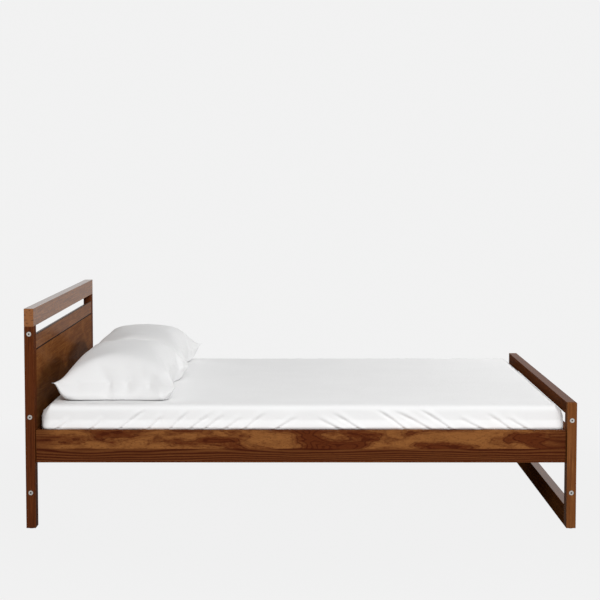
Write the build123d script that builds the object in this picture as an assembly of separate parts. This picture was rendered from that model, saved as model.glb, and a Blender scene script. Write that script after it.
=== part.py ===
from build123d import *
import os

# A low platform bed for a 160 x 200 cm mattress, with its mattress, fitted sheet and two pillows.
# Millimetres. +X runs from the head to the foot, +Z is up, and the origin is on the floor under
# the middle of the bed. "Left" is the -Y side, seen by a person at the foot who faces the head.

# --- Driving dimensions ---------------------------------------------------------------------
BED_LENGTH = 2080.0          # over the legs, along X
BED_WIDTH = 1740.0           # over the legs, along Y
HEAD_HEIGHT = 836.0          # floor to the top of the head top rail
FOOT_HEIGHT = 480.0          # floor to the top of the foot top rail
FLOOR_GAP = 2.0              # glides hold the wood this far off the floor

LEG_DEPTH = 36.0             # leg planks, along X
PLANK_WIDTH = 30.0           # each leg is two planks side by side in Y, each this wide
EDGE_ROUND = 1.2             # eased edges of all the visible boards

HEAD_RAIL_HEIGHT = 68.0
HEAD_SLOT = 32.0             # open slot under the head top rail
BACK_SLAT_HEIGHT = 58.0      # upper board of the headboard
BACK_THICKNESS = 10.0        # headboard boards
TONGUE_THICKNESS = 5.0
TONGUE_LENGTH = 10.0

RAIL_BOTTOM = 248.0          # underside of the side, cross and end rails
RAIL_TOP = 371.0             # top of the side, cross and end rails
RAIL_THICKNESS = 30.0
FOOT_RAIL_BOTTOM = 433.0     # underside of the foot top rail
BOTTOM_RAIL_TOP = 82.0

SLAT_TOP = 320.0             # what the mattress lies on
SLAT_THICKNESS = 20.0
SLAT_WIDTH = 70.0
SLAT_COUNT = 15
SLAT_END_GAP = 4.0           # slat end to side rail
FIRST_SLAT = 905.0           # first and last slat centres, from the middle of the bed
LEDGER_LENGTH = 1890.0
LEDGER_WIDTH = 28.0
LEDGER_HEIGHT = 40.0
BEAM_WIDTH = 44.0

BOLT_HEIGHTS_HEAD = (137.0, 425.0, 740.0)
BOLT_HEIGHTS_FOOT = (137.0, 413.0)
BOLT_HEAD_DIAMETER = 18.4
BOLT_HEAD_HEIGHT = 3.0
BOLT_HEAD_CHAMFER = 0.6
BOLT_SHANK_DIAMETER = 8.0
BOLT_LENGTH = 44.0
BOLT_KEY_SIZE = 6.0          # hexagon socket, across its flats
BOLT_KEY_DEPTH = 2.2
COUNTERBORE_CLEARANCE = 0.5
INSERT_DIAMETER = 12.0
INSERT_LENGTH = 18.0
INSERT_FLANGE = 1.5          # the flange's thickness and how far it stands out all round

DOWEL_DIAMETER = 8.0
DOWEL_LENGTH = 30.0
DOWEL_HALF_SPACING = 9.0     # pairs of dowels across a leg's depth
DOWEL_CHAMFER = 1.0
BOTTOM_RAIL_DOWELS = (25.0, 60.0)
CROSS_RAIL_DOWELS = (270.0, 350.0)
SIDE_RAIL_DOWELS = (302.0, 327.0)
FIT = 0.05                   # radial gap round dowels and screws

BRACKET_LEG = 50.0
BRACKET_THICKNESS = 3.0
BRACKET_BOTTOM = 250.0
SCREW_HEIGHTS = (262.0, 288.0)
SCREW_INSETS = (18.0, 38.0)  # bracket screws, from the corner
HANGER_THICKNESS = 2.5
HANGER_DEPTH = 40.0
HANGER_FLANGE = 25.0

PAN_HEAD_DIAMETER = 8.4
PAN_HEAD_HEIGHT = 2.4
PAN_HEAD_ROUND = 1.0
PAN_SHANK_DIAMETER = 4.0
PAN_SHANK_LENGTH = 22.0
COUNTERSUNK_HEAD_DIAMETER = 8.0
COUNTERSUNK_SHANK_DIAMETER = 4.0
SLAT_SCREW_LENGTH = 34.0
SLAT_SCREW_INSET = 14.0      # from the side rail's inner face
LEDGER_SCREW_LENGTH = 45.0
LEDGER_SCREW_SPACING = 280.0
LEDGER_SCREWS_EACH_WAY = 3
LEDGER_SCREW_HEIGHT = 274.0
CROSS_SLOT = 0.9             # width of the screws' cross recess; it is twice as deep

GLIDE_DIAMETER = 20.0
GLIDE_CHAMFER = 0.6
GLIDE_PIN_DIAMETER = 4.0
GLIDE_PIN_LENGTH = 14.0
BOTTOM_RAIL_GLIDES = 300.0   # from the middle of the bed

MATTRESS_LENGTH = 1993.0
MATTRESS_WIDTH = 1600.0
MATTRESS_HEIGHT = 143.0
MATTRESS_CENTRE = 5.0        # pushed this far towards the foot
MATTRESS_CORNER = 55.0
MATTRESS_EDGE = 22.0
REST_GAP = 0.3               # between pieces that only rest on each other
SHEET_THICKNESS = 1.5
SHEET_HEM = 345.0            # lower edge of the fitted sheet's skirt

PILLOW_LENGTH = 710.0        # along Y
PILLOW_WIDTH = 476.0         # along X
PILLOW_HEIGHT = 193.0
PILLOW_ROUND = 80.0
PILLOW_CENTRE_X = -722.0
PILLOW_INNER_END = 3.0       # from the middle of the bed to each pillow
CASE_THICKNESS = 1.0

# --- Derived places -------------------------------------------------------------------------
END_X = BED_LENGTH / 2
INNER_X = END_X - LEG_DEPTH
LEG_X = END_X - LEG_DEPTH / 2
SIDE_Y = BED_WIDTH / 2
SEAM_Y = SIDE_Y - PLANK_WIDTH
INNER_Y = SIDE_Y - 2 * PLANK_WIDTH
HEAD_RAIL_BOTTOM = HEAD_HEIGHT - HEAD_RAIL_HEIGHT
BACK_SLAT_TOP = HEAD_RAIL_BOTTOM - HEAD_SLOT
BACK_SLAT_BOTTOM = BACK_SLAT_TOP - BACK_SLAT_HEIGHT
SLAT_BOTTOM = SLAT_TOP - SLAT_THICKNESS
MATTRESS_BOTTOM = SLAT_TOP + REST_GAP
MATTRESS_TOP = MATTRESS_BOTTOM + MATTRESS_HEIGHT
PILLOW_BOTTOM = MATTRESS_TOP + SHEET_THICKNESS + REST_GAP
HEAD, FOOT = -1, 1           # signs of X
LEFT, RIGHT = -1, 1          # signs of Y
SIDE_NAMES = {LEFT: "left", RIGHT: "right"}
END_NAMES = {HEAD: "head", FOOT: "foot"}

nodes = {}


# --- Helpers --------------------------------------------------------------------------------
def block(x, y, z):
    """A box between two values on each axis, given in either order."""
    (x0, x1), (y0, y1), (z0, z1) = sorted(x), sorted(y), sorted(z)
    return Pos((x0 + x1) / 2, (y0 + y1) / 2, (z0 + z1) / 2) * Box(x1 - x0, y1 - y0, z1 - z0)


def board(x, y, z):
    """A planed board with eased edges."""
    blank = block(x, y, z)
    return fillet(blank.edges(), EDGE_ROUND)


def rod(start, direction, diameter, length):
    """A round bar that starts at a point and runs in a direction."""
    return Plane(origin=start, z_dir=direction) * Cylinder(
        diameter / 2, length, align=(Align.CENTER, Align.CENTER, Align.MIN)
    )


def cut(piece, tools):
    """The piece with every tool taken away."""
    for tool in tools:
        piece = piece - tool
    return piece


# --- Dowels: every hole is made from the same list as the pins ------------------------------
def dowel_places():
    """Start point and direction of each dowel. Half of it lies on each side of its joint."""
    half = DOWEL_LENGTH / 2
    places = []
    for side in (LEFT, RIGHT):
        for plank_centre in (SIDE_Y - PLANK_WIDTH / 2, SEAM_Y - PLANK_WIDTH / 2):
            for shift in (-DOWEL_HALF_SPACING, DOWEL_HALF_SPACING):
                x = HEAD * LEG_X + shift
                places.append(((x, side * plank_centre, HEAD_RAIL_BOTTOM - half), (0, 0, 1)))
        inward = (0, -side, 0)
        for shift in (-DOWEL_HALF_SPACING, DOWEL_HALF_SPACING):
            height = (FOOT_RAIL_BOTTOM + FOOT_HEIGHT) / 2
            places.append(((FOOT * LEG_X + shift, side * (SEAM_Y + half), height), inward))
        for height in BOTTOM_RAIL_DOWELS:
            places.append(((FOOT * LEG_X, side * (INNER_Y + half), height), inward))
        rail_centre = INNER_X + RAIL_THICKNESS / 2
        for end in (HEAD, FOOT):
            for height in CROSS_RAIL_DOWELS:
                places.append(((end * rail_centre, side * (INNER_Y + half), height), inward))
        for end in (HEAD, FOOT):
            for height in SIDE_RAIL_DOWELS:
                start = (end * (INNER_X + half), side * (INNER_Y + RAIL_THICKNESS / 2), height)
                places.append((start, (-end, 0, 0)))
    return places


DOWELS = dowel_places()


def drill_dowels(piece):
    """Dowel holes wherever a dowel reaches into the piece."""
    box = piece.bounding_box()
    for start, direction in DOWELS:
        middle = Vector(start) + Vector(direction) * (DOWEL_LENGTH / 2)
        reach = DOWEL_LENGTH / 2 + DOWEL_DIAMETER
        near = all(
            low - reach < value < high + reach
            for low, value, high in zip(tuple(box.min), tuple(middle), tuple(box.max))
        )
        if near:
            piece = piece - rod(start, direction, DOWEL_DIAMETER + 2 * FIT, DOWEL_LENGTH)
    return piece


def make_dowels():
    pins = []
    for start, direction in DOWELS:
        pin = rod(start, direction, DOWEL_DIAMETER, DOWEL_LENGTH)
        pins.append(chamfer(pin.edges().filter_by(GeomType.CIRCLE), DOWEL_CHAMFER))
    nodes["dowels"] = Compound(children=pins)


# --- Legs: two planks each, clamped by bolts into threaded inserts --------------------------
def bolt_places():
    places = []
    for end, heights in ((HEAD, BOLT_HEIGHTS_HEAD), (FOOT, BOLT_HEIGHTS_FOOT)):
        for side in (LEFT, RIGHT):
            for height in heights:
                places.append((end, side, height))
    return places


def outer_plank(end, side, top):
    plank = board((end * INNER_X, end * END_X), (side * SEAM_Y, side * SIDE_Y), (FLOOR_GAP, top))
    for bolt_end, bolt_side, height in bolt_places():
        if (bolt_end, bolt_side) == (end, side):
            face = (end * LEG_X, side * SIDE_Y, height)
            inward = (0, -side, 0)
            plank -= rod(face, inward, BOLT_HEAD_DIAMETER + COUNTERBORE_CLEARANCE, BOLT_HEAD_HEIGHT)
            plank -= rod(face, inward, BOLT_SHANK_DIAMETER + 2 * FIT, PLANK_WIDTH)
    return drill_dowels(plank)


def inner_plank(end, side, top):
    plank = board((end * INNER_X, end * END_X), (side * INNER_Y, side * SEAM_Y), (FLOOR_GAP, top))
    for bolt_end, bolt_side, height in bolt_places():
        if (bolt_end, bolt_side) == (end, side):
            mouth = (end * LEG_X, side * SEAM_Y, height)
            inward = (0, -side, 0)
            flange = INSERT_DIAMETER + 2 * INSERT_FLANGE
            plank -= rod(mouth, inward, INSERT_DIAMETER, INSERT_LENGTH)
            plank -= rod(mouth, inward, flange, INSERT_FLANGE)
    if end == HEAD:
        back = INNER_X + BACK_THICKNESS
        plank -= block(
            (-back, -back + TONGUE_THICKNESS),
            (side * INNER_Y, side * (INNER_Y + TONGUE_LENGTH)),
            (RAIL_TOP, BACK_SLAT_TOP),
        )
    return drill_dowels(plank)


def make_legs():
    for side in (LEFT, RIGHT):
        name = SIDE_NAMES[side]
        nodes[f"head_post_outer_{name}"] = outer_plank(HEAD, side, HEAD_RAIL_BOTTOM)
        nodes[f"head_post_inner_{name}"] = inner_plank(HEAD, side, HEAD_RAIL_BOTTOM)
        nodes[f"foot_leg_outer_{name}"] = outer_plank(FOOT, side, FOOT_HEIGHT)
        nodes[f"foot_leg_inner_{name}"] = inner_plank(FOOT, side, FOOT_RAIL_BOTTOM)


def make_bolts():
    bolts = []
    inserts = []
    for end, side, height in bolt_places():
        inward = (0, -side, 0)
        face = (end * LEG_X, side * SIDE_Y, height)
        head = rod(face, inward, BOLT_HEAD_DIAMETER, BOLT_HEAD_HEIGHT)
        rim = head.edges().filter_by(GeomType.CIRCLE).sort_by(Axis.Y)[-1 if side == RIGHT else 0]
        head = chamfer(rim, BOLT_HEAD_CHAMFER)
        socket = Plane(origin=face, z_dir=inward) * extrude(
            RegularPolygon(BOLT_KEY_SIZE / 2, 6, major_radius=False), BOLT_KEY_DEPTH
        )
        shank = rod(face, inward, BOLT_SHANK_DIAMETER, BOLT_LENGTH)
        bolts.append(head + shank - socket)
        mouth = (end * LEG_X, side * SEAM_Y, height)
        insert = rod(mouth, inward, INSERT_DIAMETER, INSERT_LENGTH)
        insert += rod(mouth, inward, INSERT_DIAMETER + 2 * INSERT_FLANGE, INSERT_FLANGE)
        insert -= rod(mouth, inward, BOLT_SHANK_DIAMETER + 2 * FIT, INSERT_LENGTH)
        inserts.append(insert)
    nodes["leg_bolts"] = Compound(children=bolts)
    nodes["threaded_inserts"] = Compound(children=inserts)


# --- Headboard ------------------------------------------------------------------------------
def back_board(bottom, top):
    """A headboard board: its end tongues sit in the grooves of the inner planks."""
    back = INNER_X + BACK_THICKNESS
    panel = board((-back, -INNER_X), (-INNER_Y, INNER_Y), (bottom, top))
    reach = INNER_Y + TONGUE_LENGTH
    return panel + block((-back, -back + TONGUE_THICKNESS), (-reach, reach), (bottom, top))


def make_headboard():
    rail = board((-END_X, -INNER_X), (-SIDE_Y, SIDE_Y), (HEAD_RAIL_BOTTOM, HEAD_HEIGHT))
    nodes["head_top_rail"] = drill_dowels(rail)
    nodes["headboard_slat"] = back_board(BACK_SLAT_BOTTOM, BACK_SLAT_TOP)
    nodes["headboard_panel"] = back_board(RAIL_TOP, BACK_SLAT_BOTTOM)


# --- Screws ---------------------------------------------------------------------------------
def countersunk_screw(face, direction, length, gap=0.0):
    """A screw whose head is flush with a face. With a gap it is the hole for that screw."""
    plane = Plane(origin=face, z_dir=direction)
    head_radius = COUNTERSUNK_HEAD_DIAMETER / 2 + gap
    shank_radius = COUNTERSUNK_SHANK_DIAMETER / 2 + gap
    head_height = (COUNTERSUNK_HEAD_DIAMETER - COUNTERSUNK_SHANK_DIAMETER) / 2
    low = (Align.CENTER, Align.CENTER, Align.MIN)
    screw = Cone(head_radius, shank_radius, head_height, align=low)
    screw += Cylinder(shank_radius, length, align=low)
    if not gap:
        screw -= Box(COUNTERSUNK_HEAD_DIAMETER / 2, CROSS_SLOT, 2 * CROSS_SLOT)
        screw -= Box(CROSS_SLOT, COUNTERSUNK_HEAD_DIAMETER / 2, 2 * CROSS_SLOT)
    return plane * screw


def pan_screw(face, direction, thickness):
    """A screw with its head on a plate of some thickness, which its shank passes through."""
    plane = Plane(origin=face, z_dir=direction)
    high = (Align.CENTER, Align.CENTER, Align.MAX)
    low = (Align.CENTER, Align.CENTER, Align.MIN)
    head = Cylinder(PAN_HEAD_DIAMETER / 2, PAN_HEAD_HEIGHT, align=high)
    head = fillet(head.edges().filter_by(GeomType.CIRCLE).sort_by(Axis.Z)[0], PAN_HEAD_ROUND)
    head += Cylinder(PAN_SHANK_DIAMETER / 2, PAN_SHANK_LENGTH + thickness, align=low)
    for size in ((PAN_HEAD_DIAMETER / 2, CROSS_SLOT), (CROSS_SLOT, PAN_HEAD_DIAMETER / 2)):
        head -= Pos(0, 0, -PAN_HEAD_HEIGHT) * Box(size[0], size[1], 2 * CROSS_SLOT)
    return plane * head


def pan_hole(face, direction, thickness):
    return rod(face, direction, PAN_SHANK_DIAMETER + 2 * FIT, PAN_SHANK_LENGTH + thickness)


def bracket_screw_places():
    """Face point, direction and plate thickness of each screw in the brackets and hangers."""
    places = []
    for height in SCREW_HEIGHTS:
        for end in (HEAD, FOOT):
            for side in (LEFT, RIGHT):
                for inset in SCREW_INSETS:
                    on_rail = (
                        end * (INNER_X - inset),
                        side * (INNER_Y - BRACKET_THICKNESS),
                        height,
                    )
                    on_end = (
                        end * (INNER_X - BRACKET_THICKNESS),
                        side * (INNER_Y - inset),
                        height,
                    )
                    places.append((on_rail, (0, side, 0), BRACKET_THICKNESS))
                    places.append((on_end, (end, 0, 0), BRACKET_THICKNESS))
                flange_y = BEAM_WIDTH / 2 + HANGER_THICKNESS + HANGER_FLANGE / 2
                on_flange = (end * (INNER_X - HANGER_THICKNESS), side * flange_y, height)
                places.append((on_flange, (end, 0, 0), HANGER_THICKNESS))
    return places


def ledger_screw_places():
    places = []
    for side in (LEFT, RIGHT):
        for step in range(-LEDGER_SCREWS_EACH_WAY, LEDGER_SCREWS_EACH_WAY + 1):
            x = step * LEDGER_SCREW_SPACING
            face = (x, side * (INNER_Y - LEDGER_WIDTH), LEDGER_SCREW_HEIGHT)
            places.append((face, (0, side, 0)))
    return places


def slat_centres():
    pitch = 2 * FIRST_SLAT / (SLAT_COUNT - 1)
    return [-FIRST_SLAT + pitch * index for index in range(SLAT_COUNT)]


def slat_screw_rows():
    """Y of the three screws in a slat: one over each ledger and one over the beam."""
    return (-INNER_Y + SLAT_SCREW_INSET, 0.0, INNER_Y - SLAT_SCREW_INSET)


def slat_screw_holes(row):
    holes = []
    for x in slat_centres():
        holes.append(countersunk_screw((x, row, SLAT_TOP), (0, 0, -1), SLAT_SCREW_LENGTH, FIT))
    return holes


def make_screws():
    pan = [pan_screw(*place) for place in bracket_screw_places()]
    ledger = [
        countersunk_screw(face, direction, LEDGER_SCREW_LENGTH)
        for face, direction in ledger_screw_places()
    ]
    slat = []
    for x in slat_centres():
        for y in slat_screw_rows():
            slat.append(countersunk_screw((x, y, SLAT_TOP), (0, 0, -1), SLAT_SCREW_LENGTH))
    nodes["bracket_screws"] = Compound(children=pan)
    nodes["ledger_screws"] = Compound(children=ledger)
    nodes["slat_screws"] = Compound(children=slat)


# --- Rails ----------------------------------------------------------------------------------
def make_rails():
    pan_holes = [pan_hole(*place) for place in bracket_screw_places()]
    inside, outside = INNER_X, INNER_X + RAIL_THICKNESS
    cross = board((-inside, -outside), (-INNER_Y, INNER_Y), (RAIL_BOTTOM, RAIL_TOP))
    end = board((inside, outside), (-INNER_Y, INNER_Y), (RAIL_BOTTOM, RAIL_TOP))
    nodes["head_cross_rail"] = cut(drill_dowels(cross), pan_holes)
    nodes["foot_end_rail"] = cut(drill_dowels(end), pan_holes)
    top = board((INNER_X, END_X), (-SEAM_Y, SEAM_Y), (FOOT_RAIL_BOTTOM, FOOT_HEIGHT))
    nodes["foot_top_rail"] = drill_dowels(top)
    low = board((INNER_X, END_X), (-INNER_Y, INNER_Y), (FLOOR_GAP, BOTTOM_RAIL_TOP))
    for side in (LEFT, RIGHT):
        start = (LEG_X, side * BOTTOM_RAIL_GLIDES, FLOOR_GAP)
        low -= rod(start, (0, 0, 1), GLIDE_PIN_DIAMETER, GLIDE_PIN_LENGTH)
    nodes["foot_bottom_rail"] = drill_dowels(low)
    for side in (LEFT, RIGHT):
        width = (side * INNER_Y, side * (INNER_Y + RAIL_THICKNESS))
        rail = board((-INNER_X, INNER_X), width, (RAIL_BOTTOM, RAIL_TOP))
        ledger_holes = [
            countersunk_screw(face, direction, LEDGER_SCREW_LENGTH, FIT)
            for face, direction in ledger_screw_places()
            if direction[1] == side
        ]
        rail = cut(drill_dowels(rail), pan_holes + ledger_holes)
        nodes[f"side_rail_{SIDE_NAMES[side]}"] = rail


# --- Slat base ------------------------------------------------------------------------------
def make_slat_base():
    for side in (LEFT, RIGHT):
        ledger = board(
            (-LEDGER_LENGTH / 2, LEDGER_LENGTH / 2),
            (side * (INNER_Y - LEDGER_WIDTH), side * INNER_Y),
            (SLAT_BOTTOM - LEDGER_HEIGHT, SLAT_BOTTOM),
        )
        holes = slat_screw_holes(side * (INNER_Y - SLAT_SCREW_INSET))
        for face, direction in ledger_screw_places():
            if direction[1] == side:
                holes.append(countersunk_screw(face, direction, LEDGER_SCREW_LENGTH, FIT))
        nodes[f"slat_ledger_{SIDE_NAMES[side]}"] = cut(ledger, holes)
    beam = board(
        (-INNER_X, INNER_X), (-BEAM_WIDTH / 2, BEAM_WIDTH / 2), (RAIL_BOTTOM, SLAT_BOTTOM)
    )
    nodes["centre_beam"] = cut(beam, slat_screw_holes(0.0))
    reach = INNER_Y - SLAT_END_GAP
    for index, x in enumerate(slat_centres(), start=1):
        width = (x - SLAT_WIDTH / 2, x + SLAT_WIDTH / 2)
        slat = board(width, (-reach, reach), (SLAT_BOTTOM, SLAT_TOP))
        holes = [
            countersunk_screw((x, y, SLAT_TOP), (0, 0, -1), SLAT_SCREW_LENGTH, FIT)
            for y in slat_screw_rows()
        ]
        nodes[f"slat_{index:02d}"] = cut(slat, holes)


def make_brackets():
    """Steel angles in the four inner corners, and a cradle for each end of the beam."""
    for end in (HEAD, FOOT):
        for side in (LEFT, RIGHT):
            height = (BRACKET_BOTTOM, SLAT_BOTTOM)
            corner_x, corner_y = end * INNER_X, side * INNER_Y
            on_rail = block(
                (corner_x, corner_x - end * BRACKET_LEG),
                (corner_y, corner_y - side * BRACKET_THICKNESS),
                height,
            )
            on_end = block(
                (corner_x, corner_x - end * BRACKET_THICKNESS),
                (corner_y, corner_y - side * BRACKET_LEG),
                height,
            )
            holes = [pan_hole(*place) for place in bracket_screw_places()]
            name = f"corner_bracket_{END_NAMES[end]}_{SIDE_NAMES[side]}"
            nodes[name] = cut(on_rail + on_end, holes)
        half, thick = BEAM_WIDTH / 2, HANGER_THICKNESS
        cradle = block(
            (end * INNER_X, end * (INNER_X - HANGER_DEPTH)),
            (-half - thick, half + thick),
            (RAIL_BOTTOM - thick, SLAT_BOTTOM),
        )
        cradle += block(
            (end * INNER_X, end * (INNER_X - thick)),
            (-half - thick - HANGER_FLANGE, half + thick + HANGER_FLANGE),
            (RAIL_BOTTOM, SLAT_BOTTOM),
        )
        cradle -= block(
            (end * INNER_X, end * (INNER_X - HANGER_DEPTH)), (-half, half), (RAIL_BOTTOM, SLAT_BOTTOM)
        )
        holes = [pan_hole(*place) for place in bracket_screw_places()]
        nodes[f"beam_hanger_{END_NAMES[end]}"] = cut(cradle, holes)


def make_glides():
    """Plastic glides: one under each leg plank and two under the bottom rail at the foot."""
    spots = [(LEG_X, side * BOTTOM_RAIL_GLIDES) for side in (LEFT, RIGHT)]
    for end in (HEAD, FOOT):
        for side in (LEFT, RIGHT):
            for y in (SIDE_Y - PLANK_WIDTH / 2, SEAM_Y - PLANK_WIDTH / 2):
                spots.append((end * LEG_X, side * y))
    glides = []
    for x, y in spots:
        disc = rod((x, y, 0), (0, 0, 1), GLIDE_DIAMETER, FLOOR_GAP)
        disc = chamfer(disc.edges().filter_by(GeomType.CIRCLE).sort_by(Axis.Z)[0], GLIDE_CHAMFER)
        glides.append(disc + rod((x, y, 0), (0, 0, 1), GLIDE_PIN_DIAMETER, GLIDE_PIN_LENGTH))
    nodes["floor_glides"] = Compound(children=glides)
    for name in list(nodes):
        if name.startswith(("head_post", "foot_leg")):
            box = nodes[name].bounding_box()
            start = ((box.min.X + box.max.X) / 2, (box.min.Y + box.max.Y) / 2, FLOOR_GAP)
            pin = rod(start, (0, 0, 1), GLIDE_PIN_DIAMETER, GLIDE_PIN_LENGTH - FLOOR_GAP)
            nodes[name] = nodes[name] - pin


# --- Bedding --------------------------------------------------------------------------------
def soft_slab(x, y, z, corner, top_edge, bottom_edge):
    """A box with rounded corners and rounded top and bottom edges. No round is left out at 0."""
    slab = block(x, y, z)
    slab = fillet(slab.edges().filter_by(Axis.Z), corner)
    slab = fillet(slab.faces().sort_by(Axis.Z)[-1].edges(), top_edge)
    if bottom_edge:
        slab = fillet(slab.faces().sort_by(Axis.Z)[0].edges(), bottom_edge)
    return slab


def make_mattress():
    half_x, half_y = MATTRESS_LENGTH / 2, MATTRESS_WIDTH / 2
    low, high = MATTRESS_CENTRE - half_x, MATTRESS_CENTRE + half_x
    core = soft_slab(
        (low, high),
        (-half_y, half_y),
        (MATTRESS_BOTTOM, MATTRESS_TOP),
        MATTRESS_CORNER,
        MATTRESS_EDGE,
        MATTRESS_EDGE,
    )
    grow = SHEET_THICKNESS
    cover = soft_slab(
        (low - grow, high + grow),
        (-half_y - grow, half_y + grow),
        (SHEET_HEM, MATTRESS_TOP + grow),
        MATTRESS_CORNER + grow,
        MATTRESS_EDGE + grow,
        0,
    )
    nodes["mattress"] = core
    nodes["fitted_sheet"] = cover - core


def pillow_blank(side, shrink):
    inner, outer = PILLOW_INNER_END + shrink, PILLOW_INNER_END + PILLOW_LENGTH - shrink
    half_x = PILLOW_WIDTH / 2 - shrink
    blank = block(
        (PILLOW_CENTRE_X - half_x, PILLOW_CENTRE_X + half_x),
        (side * inner, side * outer),
        (PILLOW_BOTTOM + shrink, PILLOW_BOTTOM + PILLOW_HEIGHT - shrink),
    )
    return fillet(blank.edges(), PILLOW_ROUND - shrink)


def make_pillows():
    """Each pillow has a case that is open at the end next to the other pillow."""
    for side in (LEFT, RIGHT):
        filling = pillow_blank(side, CASE_THICKNESS)
        mouth = block(
            (PILLOW_CENTRE_X - PILLOW_WIDTH, PILLOW_CENTRE_X + PILLOW_WIDTH),
            (side * PILLOW_INNER_END, side * (PILLOW_INNER_END + CASE_THICKNESS)),
            (PILLOW_BOTTOM, PILLOW_BOTTOM + PILLOW_HEIGHT),
        )
        nodes[f"pillow_{SIDE_NAMES[side]}"] = filling
        nodes[f"pillowcase_{SIDE_NAMES[side]}"] = pillow_blank(side, 0.0) - filling - mouth


make_legs()
make_bolts()
make_headboard()
make_rails()
make_slat_base()
make_brackets()
make_screws()
make_dowels()
make_glides()
make_mattress()
make_pillows()

os.makedirs("parts", exist_ok=True)
for name, shape in nodes.items():
    export_step(shape, f"parts/{name}.step")
    print(name, "solids:", len(shape.solids()))
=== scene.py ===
"""A platform bed: walnut frame, slatted base, mattress, fitted sheet and two pillows.

Run as a script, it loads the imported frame, gives every board and fitting its finish, and makes the
soft goods around it. Everything is in metres: +X runs from head to foot and +Z is up.
"""

import math

import bmesh
import bpy
import numpy as np
from bpy.props import FloatProperty, FloatVectorProperty, IntProperty, PointerProperty
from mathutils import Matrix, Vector
from mathutils.bvhtree import BVHTree


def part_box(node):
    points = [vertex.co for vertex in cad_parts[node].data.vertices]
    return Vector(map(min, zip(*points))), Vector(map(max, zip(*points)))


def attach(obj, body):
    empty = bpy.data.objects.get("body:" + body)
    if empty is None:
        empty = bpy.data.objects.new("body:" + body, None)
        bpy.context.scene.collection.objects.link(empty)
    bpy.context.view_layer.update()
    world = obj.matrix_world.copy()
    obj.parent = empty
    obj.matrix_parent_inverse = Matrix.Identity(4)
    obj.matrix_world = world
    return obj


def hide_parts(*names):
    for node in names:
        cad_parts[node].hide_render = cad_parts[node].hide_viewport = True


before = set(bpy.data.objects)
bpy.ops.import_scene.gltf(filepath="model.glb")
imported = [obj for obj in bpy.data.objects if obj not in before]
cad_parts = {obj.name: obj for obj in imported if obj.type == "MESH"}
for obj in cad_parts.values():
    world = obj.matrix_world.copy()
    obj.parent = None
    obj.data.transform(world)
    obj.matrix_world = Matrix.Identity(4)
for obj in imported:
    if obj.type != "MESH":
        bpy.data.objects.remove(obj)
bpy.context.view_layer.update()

bl_info = {
    "name": "Platform bed",
    "version": (1, 0, 0),
    "blender": (4, 5, 0),
    "location": "3D View > Sidebar > Bed",
    "description": "Finishes, mattress, fitted sheet and pillows for a wooden platform bed",
    "category": "Object",
}

SIDES = {"left": -1, "right": 1}
SHEET_LOW, SHEET_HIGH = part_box("fitted_sheet")
MATTRESS_LOW, MATTRESS_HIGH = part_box("mattress")
RAIL_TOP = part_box("side_rail_left")[1].z
RAIL_INNER = -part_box("side_rail_left")[1].y
SHEET_TOP = SHEET_HIGH.z
PILLOW_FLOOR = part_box("pillowcase_left")[0].z


def srgb(red, green, blue):
    """A linear colour from its 0 to 255 display values."""
    def linear(value):
        value = value / 255
        return value / 12.92 if value <= 0.04045 else ((value + 0.055) / 1.055) ** 2.4

    return (linear(red), linear(green), linear(blue))


# --- Settings -------------------------------------------------------------------------------
def colour_setting(name, description, default):
    return FloatVectorProperty(
        name=name, description=description, default=default, size=3, min=0, max=1, subtype="COLOR"
    )


def length_setting(name, description, default):
    return FloatProperty(name=name, description=description, default=default, min=0, unit="LENGTH")


def number_setting(name, description, default):
    return FloatProperty(name=name, description=description, default=default, min=0)


def power_setting(name, description, default):
    return FloatProperty(name=name, description=description, default=default, min=0, subtype="POWER")


def angle_setting(name, description, degrees):
    default = math.radians(degrees)
    return FloatProperty(name=name, description=description, default=default, subtype="ANGLE")


class WoodSettings(bpy.types.PropertyGroup):
    """Finish of the walnut boards and of the slat base."""

    dark: colour_setting("Dark grain", "Stained late wood", srgb(56, 16, 6))
    middle: colour_setting("Middle grain", "Main colour of the boards", srgb(94, 46, 21))
    light: colour_setting("Light grain", "Figured sapwood", srgb(140, 90, 48))
    ring_pitch: length_setting("Ring pitch", "Distance between growth rings", 0.0062)
    roughness: number_setting("Roughness", "Satin varnish", 0.42)
    wear: length_setting("Edge wear", "How far the rubbed edges reach in", 0.0022)
    pine: colour_setting("Pine", "Slats, ledgers and beam", srgb(206, 172, 124))
    pine_late: colour_setting("Pine late wood", "Darker lines in the pine", srgb(174, 124, 74))


class MetalSettings(bpy.types.PropertyGroup):
    """Finish of the fittings."""

    bolt: colour_setting("Bolt", "Nickel-plated bolt heads", srgb(172, 169, 165))
    zinc: colour_setting("Zinc", "Plated screws and inserts", srgb(196, 192, 178))
    powder: colour_setting("Powder coat", "Brackets and hangers", srgb(46, 46, 50))
    glide: colour_setting("Glide", "Moulded glides", srgb(72, 50, 36))


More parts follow.
